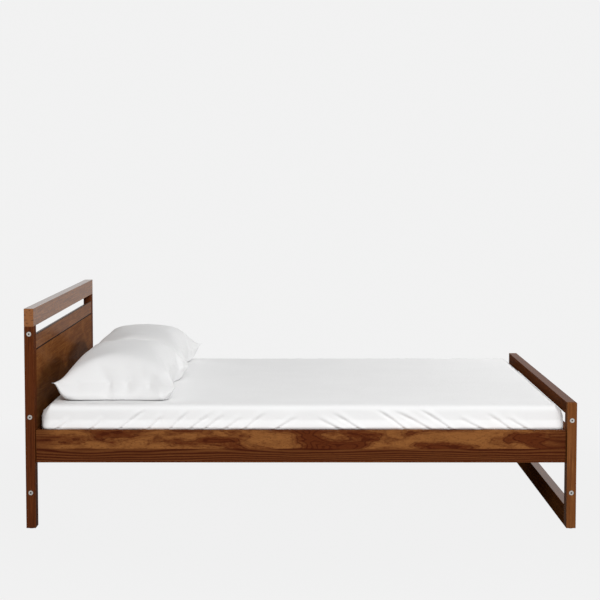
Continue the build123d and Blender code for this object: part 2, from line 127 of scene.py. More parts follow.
class LinenSettings(bpy.types.PropertyGroup):
    """Sheet, pillowcases and mattress cover."""

    cotton: colour_setting("Sheet cotton", "Fitted sheet", (0.83, 0.83, 0.83))
    case: colour_setting("Pillowcase cotton", "Pillowcases", (0.745, 0.745, 0.745))
    ticking: colour_setting("Ticking", "Mattress cover", srgb(226, 223, 216))
    thread_pitch: length_setting("Thread pitch", "Distance between threads of the weave", 0.0007)
    fold_depth: length_setting("Fold depth", "Depth of the pulled folds on the sheet's sides", 0.0048)
    hem_bulge: length_setting("Hem bulge", "How far the sheet swells over the side rails", 0.0095)
    stitch_pitch: length_setting("Stitch pitch", "Distance between stitches", 0.0036)
    quilt_pitch: length_setting("Quilt pitch", "Width of the mattress's quilted channels", 0.145)
    quilt_depth: length_setting("Quilt depth", "Depth of the quilted channels", 0.006)
    pillow_length: length_setting("Pillow length", "Pillowcase laid flat, along its long side", 0.767)
    pillow_width: length_setting("Pillow width", "Pillowcase laid flat, along its short side", 0.525)
    pillow_height: length_setting("Pillow height", "Crown of a filled pillow above the sheet", 0.193)
    inflate_frames: IntProperty(name="Inflate frames", description="Longest filling time", default=26)


class StageSettings(bpy.types.PropertyGroup):
    """Camera, light and floor."""

    backdrop: number_setting("Backdrop", "Brightness behind the bed", 0.885)
    ambient: number_setting("Ambient", "Soft light from all round", 0.17)
    gloss: number_setting("Gloss", "Brightness of what polished faces reflect", 0.68)
    key: power_setting("Key", "Strength of the front light", 388)
    side: power_setting("Side", "Strength of the light at the foot", 95)
    back: power_setting("Back", "Strength of the light behind", 120)
    top: power_setting("Top", "Strength of the overhead light", 8)
    lens: FloatProperty(
        name="Lens", description="Focal length", default=97.78, min=1, subtype="DISTANCE_CAMERA"
    )
    camera_height: length_setting("Camera height", "Above the floor", 1.3291)
    camera_distance: length_setting("Camera distance", "From the middle of the bed", 6.9588)
    camera_aside: length_setting("Camera aside", "Towards the foot", 0.0007)
    camera_tilt: angle_setting("Tilt", "Below the horizon", 4.324)
    camera_turn: angle_setting("Turn", "Towards the head", 0.043)


class BedSettings(bpy.types.PropertyGroup):
    """All the settings of the bed."""

    wood: PointerProperty(type=WoodSettings)
    metal: PointerProperty(type=MetalSettings)
    linen: PointerProperty(type=LinenSettings)
    stage: PointerProperty(type=StageSettings)


# --- Shader building ------------------------------------------------------------------------
class Field:
    """One socket of a shader. Arithmetic on it adds Math nodes."""

    def __init__(self, shader, socket):
        self.shader = shader
        self.socket = socket

    def _math(self, operation, *values):
        return self.shader.node("ShaderNodeMath", {"operation": operation}, dict(enumerate(values)))

    def __add__(self, other):
        return self._math("ADD", self, other)

    def __sub__(self, other):
        return self._math("SUBTRACT", self, other)

    def __rsub__(self, other):
        return self._math("SUBTRACT", other, self)

    def __mul__(self, other):
        return self._math("MULTIPLY", self, other)

    def __truediv__(self, other):
        return self._math("DIVIDE", self, other)

    def __abs__(self):
        return self._math("ABSOLUTE", self)

    __radd__ = __add__
    __rmul__ = __mul__

    def wave(self, length=math.tau):
        """A wave from 0 to 1 that repeats at each length."""
        turns = self if length == math.tau else self * (math.tau / length)
        return turns._math("SINE", turns) * 0.5 + 0.5

    def sin(self):
        return self._math("SINE", self)

    def sqrt(self):
        return self._math("SQRT", self)

    def floor(self):
        return self._math("FLOOR", self)

    def least(self, other):
        return self._math("MINIMUM", self, other)

    def most(self, other):
        return self._math("MAXIMUM", self, other)

    def step(self, low, high):
        """0 below low, 1 above high, and smooth between. It falls where low is above high."""
        values = {"Value": self, "From Min": low, "From Max": high}
        if low > high:
            values.update({"From Min": high, "From Max": low, "To Min": 1.0, "To Max": 0.0})
        settings = {"interpolation_type": "SMOOTHSTEP"}
        return self.shader.node("ShaderNodeMapRange", settings, values)


CLOTH_MAP = "cloth"          # name of the UV map of woven pieces, whose unit is a metre
MIX_FIRST, MIX_SECOND, MIX_RESULT = 6, 7, 2   # the colour sockets of a Mix node


def rgba(colour):
    return colour if isinstance(colour, Field) else (*colour, 1.0)


class Shader:
    """A new material and the one method that adds nodes to it."""

    def __init__(self, name):
        self.material = bpy.data.materials.new(name)
        self.material.use_nodes = True
        self.tree = self.material.node_tree
        self.tree.nodes.clear()

    def node(self, kind, settings=None, values=None, output=0):
        """Adds a node. Settings are set first, then its sockets, by name or number."""
        node = self.tree.nodes.new(kind)
        for key, value in (settings or {}).items():
            setattr(node, key, value)
        for key, value in (values or {}).items():
            if isinstance(value, Field):
                self.tree.links.new(value.socket, node.inputs[key])
            else:
                node.inputs[key].default_value = value
        return None if output is None else Field(self, node.outputs[output])

    def parts(self, vector):
        """The three numbers of a vector."""
        first = self.node("ShaderNodeSeparateXYZ", values={0: vector})
        return [Field(self, socket) for socket in first.socket.node.outputs]

    def place(self):
        """The three Object coordinates, in metres."""
        return self.parts(self.node("ShaderNodeTexCoord", output="Object"))

    def vector(self, x, y, z):
        return self.node("ShaderNodeCombineXYZ", values={0: x, 1: y, 2: z})

    def noise(self, x, y, z, detail=2.0, roughness=0.5, distortion=0.0):
        values = {
            "Vector": self.vector(x, y, z),
            "Scale": 1.0,
            "Detail": detail,
            "Roughness": roughness,
            "Distortion": distortion,
        }
        return self.node("ShaderNodeTexNoise", {"noise_dimensions": "3D"}, values)

    def mix(self, amount, first, second):
        """A colour from first to second. A plain colour is given as three numbers."""
        values = {"Factor": amount, MIX_FIRST: rgba(first), MIX_SECOND: rgba(second)}
        return self.node("ShaderNodeMix", {"data_type": "RGBA"}, values, output=MIX_RESULT)

    def shade(self, colour, amount):
        """The colour times a number."""
        grey = self.node("ShaderNodeCombineColor", values={0: amount, 1: amount, 2: amount})
        values = {"Factor": 1.0, MIX_FIRST: rgba(colour), MIX_SECOND: grey}
        settings = {"data_type": "RGBA", "blend_type": "MULTIPLY"}
        return self.node("ShaderNodeMix", settings, values, output=MIX_RESULT)

    def bump(self, height, distance, strength=1.0):
        values = {"Height": height, "Distance": distance, "Strength": strength}
        return self.node("ShaderNodeBump", values=values)

    def finish(self, **values):
        """The surface itself. Underscores in the names stand for spaces."""
        sockets = {key.replace("_", " "): value for key, value in values.items()}
        return self.output(self.node("ShaderNodeBsdfPrincipled", values=sockets))

    def output(self, surface):
        self.node("ShaderNodeOutputMaterial", values={"Surface": surface}, output=None)
        return self.material


def edge_distance(low, high, x, y, z):
    """Distance to the nearest edge of a board, from its box: the middle one of three distances."""
    near = []
    for axis, value in enumerate((x, y, z)):
        near.append((value - low[axis]).least(high[axis] - value))
    smaller, larger = near[0].least(near[1]), near[0].most(near[1])
    return smaller.most(larger.least(near[2]))


# --- Wood -----------------------------------------------------------------------------------
GRAIN = {"x": (0, 2, 1), "y": (1, 2, 0), "z": (2, 0, 1)}   # along the grain, across, through
FIRST_SEED, SEED_STEP = 3.7, 5.3   # where each board is cut from the endless log
POLISH = {                   # second coat of varnish: on the face that looks up, and on the others
    "head_top_rail": (1.0, 0.42),
    "headboard_slat": (0.4, 0.17),
    "foot_top_rail": (0.30, 0.02),
    "foot_bottom_rail": (0.6, 0.0),
}
PLAIN_COAT = 0.05            # the varnish of the other boards
VARNISH_ROUGHNESS = 0.14
PANEL_SHADED_BRIGHTNESS = 0.55            # painted shade behind the pillows: the headboard panel's lower part keeps this much of its brightness
PANEL_SHADE_FADE = (0.46, 0.66)    # heights between which the painted shade fades
JOINT_SHADE = srgb(26, 6, 3)
JOINT_REACH = (0.0012, 0.0045)
SAWN_END = srgb(148, 96, 56)
SAWN_RING_PITCH = 0.0046
SAWN_HEART = 0.70            # height of the rings' centre on the sawn ends
SAWN_DEPTH = (0.0016, 0.0009)   # the sawn end shows on what lies this near to a board's tip
SIDE_RAIL_SPLIT = 0.053      # height of the dark, straight-grained strip of a side rail
HEART_ACROSS = 0.004         # where the log's heart lies from the middle of a board, across it
HEART_THROUGH = {"x": 0.030, "y": 0.030, "z": 0.012}   # and through it
UPRIGHT_PITCH = 0.9          # rings of the posts and legs, next to those of the other boards
FINE_PITCH = 0.31            # the fine lines in the late wood, next to the rings
COATED_SKIN = (-0.0007, -0.0003)   # heights from a board's top that count as its upper face
BOARDS = {
    # name: (grain direction, lightness, figure, tilt of the growth rings)
    "head_post_outer_left": ("z", 0.10, 0.10, 0.030),
    "head_post_outer_right": ("z", 0.14, 0.10, -0.026),
    "head_post_inner_left": ("z", 0.12, 0.15, 0.022),
    "head_post_inner_right": ("z", 0.12, 0.15, -0.034),
    "head_top_rail": ("y", 0.95, 0.45, 0.012),
    "headboard_slat": ("y", 0.80, 0.40, 0.009),
    "headboard_panel": ("y", 0.72, 0.75, 0.014),
    "head_cross_rail": ("y", 0.22, 0.30, 0.012),
    "foot_leg_outer_left": ("z", 0.62, 0.20, 0.028),
    "foot_leg_outer_right": ("z", 0.50, 0.20, -0.030),
    "foot_leg_inner_left": ("z", 0.45, 0.20, 0.024),
    "foot_leg_inner_right": ("z", 0.45, 0.20, -0.020),
    "foot_top_rail": ("y", 0.25, 0.15, 0.010),
    "foot_end_rail": ("y", 0.40, 0.50, 0.012),
    "foot_bottom_rail": ("y", 0.55, 0.15, 0.012),
    "side_rail_left": ("x", 0.80, 1.00, 0.006),
    "side_rail_right": ("x", 0.72, 1.00, -0.006),
}


def end_grain(s, place, wood):
    """Sawn end of a board: arcs of growth rings, dotted with pores and split by short cracks."""
    x, y, z = place
    from_heart = z - SAWN_HEART
    ring = (x * x + from_heart * from_heart).sqrt() + s.noise(x * 30, y * 4, z * 30) * 0.004
    arcs = ring.wave(SAWN_RING_PITCH)
    dots = s.noise(x * 900, y * 90, z * 900, detail=1).step(0.56, 0.68)
    crack = s.noise(x * 60, y * 11, z * 260, detail=2).step(0.60, 0.66)
    colour = s.mix(arcs * 0.35 + dots * 0.25, SAWN_END, wood.middle)
    return s.mix(crack * 0.8, colour, wood.dark)


def walnut(name, seed, wood):
    """Stained, figured wood with its grain along one axis of the board."""
    along, lightness, figure, tilt = BOARDS[name]
    low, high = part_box(name)
    s = Shader("walnut_" + name)
    place = s.place()
    u, v, w = (place[axis] for axis in GRAIN[along])
    v_axis, w_axis = GRAIN[along][1:]
    v_heart = (low[v_axis] + high[v_axis]) / 2 + HEART_ACROSS
    w_heart = (low[w_axis] + high[w_axis]) / 2 + HEART_THROUGH[along]

    # Growth rings round the heart, with the late wood's fine lines, streaks and pores.
    wander = s.noise(u * 1.7 + seed, v * 9, w * 9) - 0.5
    ripple = s.noise(u * 9, v * 70, w * 70 + seed, detail=3) - 0.5
    across = v - v_heart
    through = w - w_heart + (u + 0.4) * tilt
    ring = (across * across + through * through).sqrt() + wander * 0.030 + ripple * 0.0022
    pitch = wood.ring_pitch * (UPRIGHT_PITCH if along == "z" else 1)
    growth = ring.wave(pitch)
    fine = ring.wave(pitch * FINE_PITCH)
    streak = s.noise(u * 3.5 + seed, v * 130, w * 130, detail=3, roughness=0.6)
    pore = s.noise(u * 45, v * 1300, w * 1300 + seed, detail=1).step(0.60, 0.72)

    # Figured sapwood: pale patches, and round them the level lines of the same slow field.
    field = s.noise(u * 4.6 + seed * 2, v * 15, w * 15, detail=1.6, roughness=0.45, distortion=0.5)
    mottle = s.noise(u * 34, v * 90, w * 90 + seed, detail=3, roughness=0.65)
    speckle = s.noise(u * 80, v * 230, w * 230 + seed, detail=2, roughness=0.6)
    pale = (field * 2.6 + mottle * 0.7 + speckle * 0.55).step(1.60, 2.16)
    contour = (field * 100 + mottle * 3).wave()
    marks = contour.step(0.62, 0.96) * (1 - pale * 0.8)

    straight = s.mix(growth * 0.55 + fine * 0.20 + streak * 0.45 - 0.12, wood.dark, wood.middle)
    straight = s.mix((streak * growth) * lightness, straight, wood.light)
    figured = s.mix(pale * (lightness * 1.15), s.mix(0.22, wood.middle, wood.dark), wood.light)
    figured = s.mix(marks * 0.55 + speckle.step(0.55, 0.70) * 0.55, figured, wood.dark)
    if name.startswith("side_rail"):
        line = s.noise(u * 2.3 + seed, 0.0, 0.0, detail=3, roughness=0.55) * 0.016 - 0.008
        upper = (v - low.z - SIDE_RAIL_SPLIT - line).step(-0.0015, 0.0015)
        # Painted shade: near the rail's ends, next to the legs, the pale figure gives way to the dark
        # wood.
        ends = (high.x - abs(u)).step(0.02, 0.10)
        colour = s.mix(upper * (ends * 0.75 + 0.25), s.mix(0.28, straight, wood.dark), figured)
    else:
        light = 1.30 - growth * 0.75 - streak.step(0.34, 0.66) * 0.75
        level = s.mix(light * lightness, straight, wood.light)
        colour = s.mix(field.step(0.40, 0.62) * figure, level, figured)
        if along == "y":
            at_end = (high.y - abs(place[1])).step(*SAWN_DEPTH)
            colour = s.mix(at_end, colour, end_grain(s, place, wood))
    # Painted shade: the panel's lower part, where the pillows shade it, is darkened in its colour.
    if name == "headboard_panel":
        colour = s.shade(colour, place[2].step(*PANEL_SHADE_FADE) * (1 - PANEL_SHADED_BRIGHTNESS) + PANEL_SHADED_BRIGHTNESS)

    # Dark joints between the headboard's boards, and rubbed edges on the others.
    edge = edge_distance(low, high, *place)
    roughness = wood.roughness + growth * -0.05 + mottle * 0.12
    if name.startswith("headboard"):
        colour = s.mix((1 - edge.step(*JOINT_REACH)) * 0.95, colour, JOINT_SHADE)
    else:
        worn = s.noise(*[p * 60 for p in place]).step(0.35, 0.7)
        rubbed = (1 - edge.step(0.0, wood.wear)) * worn
        colour = s.mix(rubbed * 0.35, colour, wood.light)
        roughness = roughness - rubbed * 0.06
    colour = s.shade(colour, 1 - pore * 0.30)
    relief = growth * 0.35 + streak * 0.4 - pore * 0.9
    coat = PLAIN_COAT
    if name in POLISH:
        coat_up, coat_aside = POLISH[name]
        facing_up = (place[2] - high.z).step(*COATED_SKIN)
        coat = facing_up * (coat_up - coat_aside) + coat_aside
    return s.finish(
        Base_Color=colour,
        Roughness=roughness,
        Normal=s.bump(relief, 0.00025),
        Specular_IOR_Level=0.0,
        Coat_Weight=coat,
        Coat_Roughness=VARNISH_ROUGHNESS,
    )


PINE_RING_PITCH = 0.0078
KNOT = srgb(112, 66, 34)


def pine(name, along, wood, board_pitch=None, first=0.0):
    """Planed softwood. With a pitch, each board of a row has a tone of its own."""
    s = Shader(name)
    place = s.place()
    u, v, w = (place[axis] for axis in GRAIN[along])
    wander = s.noise(u * 1.1, v * 14, w * 14) - 0.5
    ring = (w * 0.8 + v * 1.4) + wander * 0.035
    late = ring.wave(PINE_RING_PITCH).step(0.55, 0.98)
    fibre = s.noise(u * 14, v * 420, w * 420, detail=3, roughness=0.6)
    values = {"Vector": s.vector(u * 3.1, v * 17, w * 17), "Scale": 1.0, "Randomness": 1.0}
    knot = s.node("ShaderNodeTexVoronoi", {"feature": "F1"}, values).step(0.16, 0.05)
    colour = s.mix(late * 0.62 + fibre * 0.20, wood.pine, wood.pine_late)
    colour = s.mix(knot * 0.85, colour, KNOT)
    if board_pitch:
        index = ((place[0] - first) / board_pitch + 0.5).floor()
        values = {"Vector": s.vector(index * 3.7, 1.3, 0.2)}
        tone = s.node("ShaderNodeTexWhiteNoise", {"noise_dimensions": "3D"}, values)
        colour = s.shade(colour, tone * 0.16 + 0.86)
    relief = fibre * 0.6 - late * 0.4
    roughness = fibre * 0.18 + 0.55
    return s.finish(Base_Color=colour, Roughness=roughness, Normal=s.bump(relief, 0.0003))


# --- Metal and plastic ----------------------------------------------------------------------
# Colour of the painted shade in the bolt heads' sockets.
SOCKET_SHADE = srgb(42, 30, 26)
DUST = srgb(150, 144, 136)
SCUFF = srgb(120, 104, 92)
SOCKET_DEPTH = (0.0004, 0.0012)   # depth below a bolt's face where the painted shade in its socket begins


def plated(name, colour, brushed, roughness, face=None):
    """Plated steel with fine turning marks and a little tarnish.

    A face is the distance of the bolt heads from the middle: their sockets, which lie deeper,
    get a painted shade.
    """
    s = Shader(name)
    x, y, z = s.place()
    turned = s.noise(x * 900, y * 900, z * brushed)
    tarnish = s.noise(x * 90, y * 90, z * 90, detail=3)
    tone = s.shade(colour, tarnish * 0.22 + 0.86)
    if face:
        shallow, deep = (face - depth for depth in SOCKET_DEPTH)
        # Painted shade in the sockets of the bolt heads.
        tone = s.mix(abs(y).step(shallow, deep), tone, SOCKET_SHADE)
    rough = turned * 0.16 + tarnish * 0.10 + (roughness - 0.13)
    relief = s.bump(turned, 0.00004)
    return s.finish(Base_Color=tone, Metallic=1.0, Roughness=rough, Normal=relief)


def powder_coat(name, colour):
    """Sprayed and baked paint with an orange-peel surface."""
    s = Shader(name)
    x, y, z = s.place()
    peel = s.noise(x * 700, y * 700, z * 700, detail=1)
    dust = s.noise(x * 18, y * 18, z * 18, detail=3).step(0.45, 0.8)
    tone = s.mix(dust * 0.12, colour, DUST)
    return s.finish(Base_Color=tone, Roughness=dust * 0.15 + 0.42, Normal=s.bump(peel, 0.00006))


def moulded(name, colour):
    """Moulded plastic with a spark-eroded surface."""
    s = Shader(name)
    x, y, z = s.place()
    grit = s.noise(x * 1500, y * 1500, z * 1500, detail=1)
    scuff = s.noise(x * 120, y * 120, z * 40, detail=2).step(0.5, 0.75)
    tone = s.mix(scuff * 0.25, colour, SCUFF)
    return s.finish(Base_Color=tone, Roughness=scuff * 0.2 + 0.48, Normal=s.bump(grit, 0.00003))


# --- Cloth ----------------------------------------------------------------------------------
STRIPE = srgb(188, 182, 172)
STRIPE_PITCH = 0.036
KNIT_PITCH = 2.2             # the knitted cover's ribs are this much wider than the sheet's threads


def weave(s, pitch):
    """Height of a plain weave on a piece's cloth map, and the two coordinates of that map."""
    u, v, _ = s.parts(s.node("ShaderNodeUVMap", {"uv_map": CLOTH_MAP}))
    turn = math.tau / pitch
    slub = s.noise(u * 260, v * 22, 0.0) * 0.6 + s.noise(u * 22, v * 260, 3.0) * 0.6
    warp = (u * turn).sin() * ((v * turn * 0.5).sin() * 0.35 + 1)
    weft = (v * turn).sin() * ((u * turn * 0.5).sin() * 0.35 + 1)
    return u, v, warp.most(weft) * 0.5 + slub * 0.5


def cotton(name, colour, pitch):
    """Plain-woven cotton: threads, uneven yarn, and the small creases of washed cloth."""
    s = Shader(name)
    _, _, threads = weave(s, pitch)
    x, y, z = s.place()
    crumple = s.noise(x * 16, y * 16, z * 16, detail=4, roughness=0.6, distortion=0.4)
    soft = s.noise(x * 5, y * 5, z * 5, detail=2)
    tone = s.shade(colour, soft * 0.05 + threads * 0.03 + 0.945)
    height = threads * 0.00012 + crumple * 0.0016
    return s.finish(
        Base_Color=tone,
        Roughness=threads * 0.05 + 0.80,
        Normal=s.bump(height, 1.0, 0.6),
        Sheen_Weight=0.12,
        Sheen_Roughness=0.5,
        Specular_IOR_Level=0.25,
    )


def ticking(name, colour, pitch):
    """Knitted mattress cover with fine ribs and a faint woven stripe."""
    s = Shader(name)
    u, v, threads = weave(s, pitch * KNIT_PITCH)
    stripe = v.wave(STRIPE_PITCH).step(0.82, 0.95)
    soft = s.noise(u * 12, v * 12, 0.0, detail=3)
    tone = s.mix(stripe * 0.35, s.shade(colour, soft * 0.08 + 0.92), STRIPE)
    return s.finish(
        Base_Color=tone,
        Roughness=threads * 0.06 + 0.82,
        Normal=s.bump(threads * 0.0003 + soft * 0.0006, 1.0, 0.7),
        Sheen_Weight=0.1,
        Specular_IOR_Level=0.25,
    )


def thread(name, colour):
    """Twisted sewing thread."""
    s = Shader(name)
    x, y, z = s.place()
    twist = ((x + y + z) * 9000).wave()
    tone = s.shade(colour, twist * 0.12 + 0.86)
    return s.finish(Base_Color=tone, Roughness=twist * 0.1 + 0.65, Normal=s.bump(twist, 0.0001))


# --- Mesh helpers ---------------------------------------------------------------------------
def new_piece(name, points, faces, material, uv=None):
    """A smooth mesh object at the origin. uv holds one pair in metres for each point."""
    mesh = bpy.data.meshes.new(name)
    mesh.from_pydata([tuple(p) for p in points], [], faces)
    mesh.materials.append(material)
    mesh.polygons.foreach_set("use_smooth", [True] * len(mesh.polygons))
    if uv is not None:
        layer = mesh.uv_layers.new(name=CLOTH_MAP)
        corner = np.zeros(len(mesh.loops), np.int32)
        mesh.loops.foreach_get("vertex_index", corner)
        layer.data.foreach_set("uv", np.asarray(uv, np.float32)[corner].ravel())
    mesh.update()
    return placed(name, mesh)


def placed(name, data):
    """A new object in the scene."""
    thing = bpy.data.objects.new(name, data)
    bpy.context.scene.collection.objects.link(thing)
    return thing


def frozen(piece, name):
    """Replaces a piece by a plain mesh of how it looks now, with no modifiers."""
    graph = bpy.context.evaluated_depsgraph_get()
    mesh = bpy.data.meshes.new_from_object(piece.evaluated_get(graph))
    bpy.data.objects.remove(piece)
    return placed(name, mesh)


TUBE_SIDES = 10
GATHER_PITCH = 0.021         # of the elastic hem


def ring_faces(count, sides):
    """Quads between the rings of a closed tube: count rings of so many sides."""
    faces = []
    for i in range(count):
        n = (i + 1) % count
        for k in range(sides):
            m = (k + 1) % sides
            faces.append((i * sides + k, n * sides + k, n * sides + m, i * sides + m))
    return faces


def ring_map(run, sides, width):
    """Cloth coordinates of a closed tube: along it, and round it."""
    return np.stack([np.repeat(run, sides), np.tile(np.arange(sides) * width, len(run))], axis=1)


def distance_along(path):
    """How far each point of a closed loop is from its first point, along the loop."""
    steps = np.linalg.norm(np.roll(path, -1, axis=0) - path, axis=1)
    return np.concatenate([[0], np.cumsum(steps)[:-1]])


def smooth_step(value):
    """0 up to 0, 1 from 1 on, and smooth between."""
    value = np.clip(value, 0, 1)
    return value * value * (3 - 2 * value)


def bell(value):
    """1 at 0, falling off smoothly on both sides."""
    return np.exp(-value * value)


def waves(a, b, seed, count=7, low=2.0, high=9.0):
    """A smooth random field from -1 to 1 over two coordinates in metres."""
    random = np.random.default_rng(seed)
    total = np.zeros(np.shape(a))
    for _ in range(count):
        angle, phase = random.uniform(0, math.tau, 2)
        rate = math.pi * random.uniform(low, high)
        total = total + np.sin(rate * (math.cos(angle) * a + math.sin(angle) * b) + phase)
    return total / count * 1.6


# --- Rounded slab, shared by the sheet and the mattress -------------------------------------
TURN_REACH = 0.03            # how softly the outward direction turns at the top's diagonals
FLATTEN_REACH = 0.15         # how far in from a rounded edge the top's grid is evened out


class Slab:
    """Grid over a rounded rectangle with a skirt all round.

    Each grid point has a place on the plan, an outward direction, and a distance t past the
    border: negative on the top, positive down the side.
    """

    def __init__(self, low, high, corner, cell, rows):
        self.centre = np.array([(low.x + high.x) / 2, (low.y + high.y) / 2])
        self.half = np.array([(high.x - low.x) / 2, (high.y - low.y) / 2])
        self.corner = corner
        counts = [max(8, int(round(2 * size / step))) for size, step in zip(self.half, cell)]
        self.nx, self.ny = counts
        xs = np.linspace(-self.half[0], self.half[0], self.nx + 1)
        ys = np.linspace(-self.half[1], self.half[1], self.ny + 1)
        grid = np.stack(np.meshgrid(xs, ys, indexing="ij"), axis=-1).reshape(-1, 2)
        self.top = self.round_corners(grid)
        loop = [i * (self.ny + 1) for i in range(self.nx + 1)]
        loop += [self.nx * (self.ny + 1) + j for j in range(1, self.ny + 1)]
        loop += [i * (self.ny + 1) + self.ny for i in range(self.nx - 1, -1, -1)]
        loop += [j for j in range(self.ny - 1, 0, -1)]
        self.loop = np.array(loop)
        self.rows = np.asarray(rows)
        inside, outward = self.border(self.top)
        ring_place, ring_out = self.top[self.loop], outward[self.loop]
        count = len(self.loop)
        self.plan = np.vstack([self.top] + [ring_place] * len(self.rows))
        self.outward = np.vstack([outward] + [ring_out] * len(self.rows))
        self.t = np.concatenate([-inside] + [np.full(count, t) for t in self.rows])
        self.round = distance_along(ring_place)

    def round_corners(self, grid):
        """Maps the square corners of a grid to round ones."""
        inner = self.half - self.corner
        core = np.clip(grid, -inner, inner)
        a, b = ((grid - core) / self.corner).T
        rounded = np.stack([a * np.sqrt(1 - b * b / 2), b * np.sqrt(1 - a * a / 2)], axis=1)
        return core + rounded * self.corner

    def border(self, points):
        """Distance inside the rounded border, and the direction out to it."""
        inner = self.half - self.corner
        beyond = np.abs(points) - inner
        past = np.maximum(beyond, 0)
        length = np.linalg.norm(past, axis=1)
        inside = self.corner - length - np.minimum(beyond.max(axis=1), 0)
        flat = np.exp((beyond - beyond.max(axis=1)[:, None]) / TURN_REACH)
        flat /= np.linalg.norm(flat, axis=1)[:, None]
        both = length[:, None] > 1e-9
        outward = np.where(both, past / np.maximum(length, 1e-9)[:, None], flat)
        return inside, outward * np.where(points < 0, -1, 1)

    def profile(self, radius):
        """Inset from the border and drop below the top, for a rounded edge."""
        reach = radius * math.pi / 4
        angle = np.clip((self.t + reach) / (2 * reach), 0, 1) * math.pi / 2
        inset = radius * (1 - np.sin(angle))
        drop = radius * (1 - np.cos(angle))
        over = np.maximum(-self.t - reach, 0)
        flatten = over - (radius - reach) * (1 - np.exp(-over / FLATTEN_REACH))
        inset = inset + np.where(over > 0, flatten, 0)
        drop = drop + np.maximum(self.t - reach, 0)
        return inset, drop, angle

    def points(self, radius, top, swell=None):
        """Places of all the points, pushed out along the surface by swell."""
        inset, drop, angle = self.profile(radius)
        inside = np.maximum(-self.t, 0)
        plan = self.plan + self.outward * (inside - inset)[:, None]
        out = np.column_stack([self.outward * np.sin(angle)[:, None], np.cos(angle)])
        place = np.column_stack([plan + self.centre, top - drop])
        if swell is not None:
            place = place + out * swell[:, None]
        return place

    def faces(self, closed=False):
        """Quads of the top and the skirt, and of a mirrored underside if it is closed."""
        step = self.ny + 1
        starts = [i * step + j for i in range(self.nx) for j in range(self.ny)]
        quads = [(a, a + step, a + step + 1, a + 1) for a in starts]
        total, count = len(self.top), len(self.loop)
        previous = self.loop
        for row in range(len(self.rows)):
            current = total + row * count + np.arange(count)
            for k in range(count):
                n = (k + 1) % count
                quads.append((previous[k], current[k], current[n], previous[n]))
            previous = current
        if closed:
            under = np.zeros(total, int)
            under[self.loop] = previous
            inner = self.inner_top()
            under[inner] = total + len(self.rows) * count + np.arange(inner.sum())
            quads += [tuple(under[[a, a + 1, a + step + 1, a + step]]) for a in starts]
        return [tuple(int(v) for v in quad) for quad in quads]

    def inner_top(self):
        """The top's points that aren't on its border."""
        keep = np.ones(len(self.top), bool)
        keep[self.loop] = False
        return keep

    def uv(self):
        """Cloth coordinates: the flat cloth, with the skirt folded out."""
        return self.plan + self.outward * np.maximum(self.t, 0)[:, None]


# --- Fitted sheet ---------------------------------------------------------------------------
SHEET_CORNER = 0.038         # rounding of the sheet's corners, seen from above
SHEET_EDGE = 0.023           # rounding of the top edge along the long sides
END_EDGE = 0.058             # and across the two ends, where the corners pull it down
SHEET_CELL = (0.0047, 0.017)   # the top's grid, along the bed and across it
SHEET_ROWS = 28              # rows of the grid down the sides
FOLD_WIDTH = 0.0054
END_FOLDS = 0.45             # depth of the folds across the ends, next to those of the long sides
FAR_SHIFT = 0.035            # the far side's folds are the near side's, moved this far
HEM_HEIGHT = 0.034           # the sheet swells over the rail up to this height
END_BULGE = 0.0012
RAIL_GAP = 0.0015            # between the hidden part of the sheet and the rails
TURNED_UNDER = 0.05          # cloth that the elastic holds under the mattress
# Pulled folds of a long side: place along the bed at the rail, run along the bed, and rise.
LONG_FOLDS = (
    (-0.931, 0.049, 0.028), (-0.800, 0.045, 0.030), (-0.690, 0.098, 0.072), (-0.581, 0.052, 0.042),
    (-0.498, 0.064, 0.058), (-0.422, 0.072, 0.050), (-0.366, 0.068, 0.046), (-0.290, 0.060, 0.036),
    (-0.215, 0.072, 0.052), (-0.094, 0.072, 0.038), (0.147, -0.075, 0.032), (0.223, -0.090, 0.050),
    (0.396, -0.110, 0.074), (0.490, -0.124, 0.062), (0.570, -0.121, 0.076), (0.690, -0.080, 0.034),
    (0.796, -0.078, 0.050), (0.860, -0.070, 0.036),
)
SHORT_FOLDS = (
    (-0.62, 0.080, 0.045), (-0.45, 0.070, 0.060), (-0.28, 0.075, 0.040), (-0.12, 0.050, 0.055),
    (0.10, -0.060, 0.045), (0.26, -0.085, 0.060), (0.44, -0.070, 0.040), (0.61, -0.080, 0.055),
)


def pulled_folds(along, rise, folds, shift, depth):
    """Outward movement of a side: a sharp valley with a soft ridge beside it for each fold."""
    total = np.zeros(np.shape(along))
    for place, run, height in folds:
        length = math.hypot(run, height)
        direction = (run / length, height / length)
        a, b = along - place - shift, rise
        on = (a * direction[0] + b * direction[1]) / length
        off = (a * direction[1] - b * direction[0]) * (1 if run > 0 else -1)
        fade = smooth_step((1.25 - on) / 0.60) * smooth_step((on + 1.2) / 0.8)
        width = FOLD_WIDTH * (0.7 + 0.5 * np.clip(on, 0, 1))
        valley = bell(off / width)
        ridge = bell((off + 2.1 * width) / (1.7 * width))
        total = total + depth * fade * (0.75 * ridge - valley)
    return total


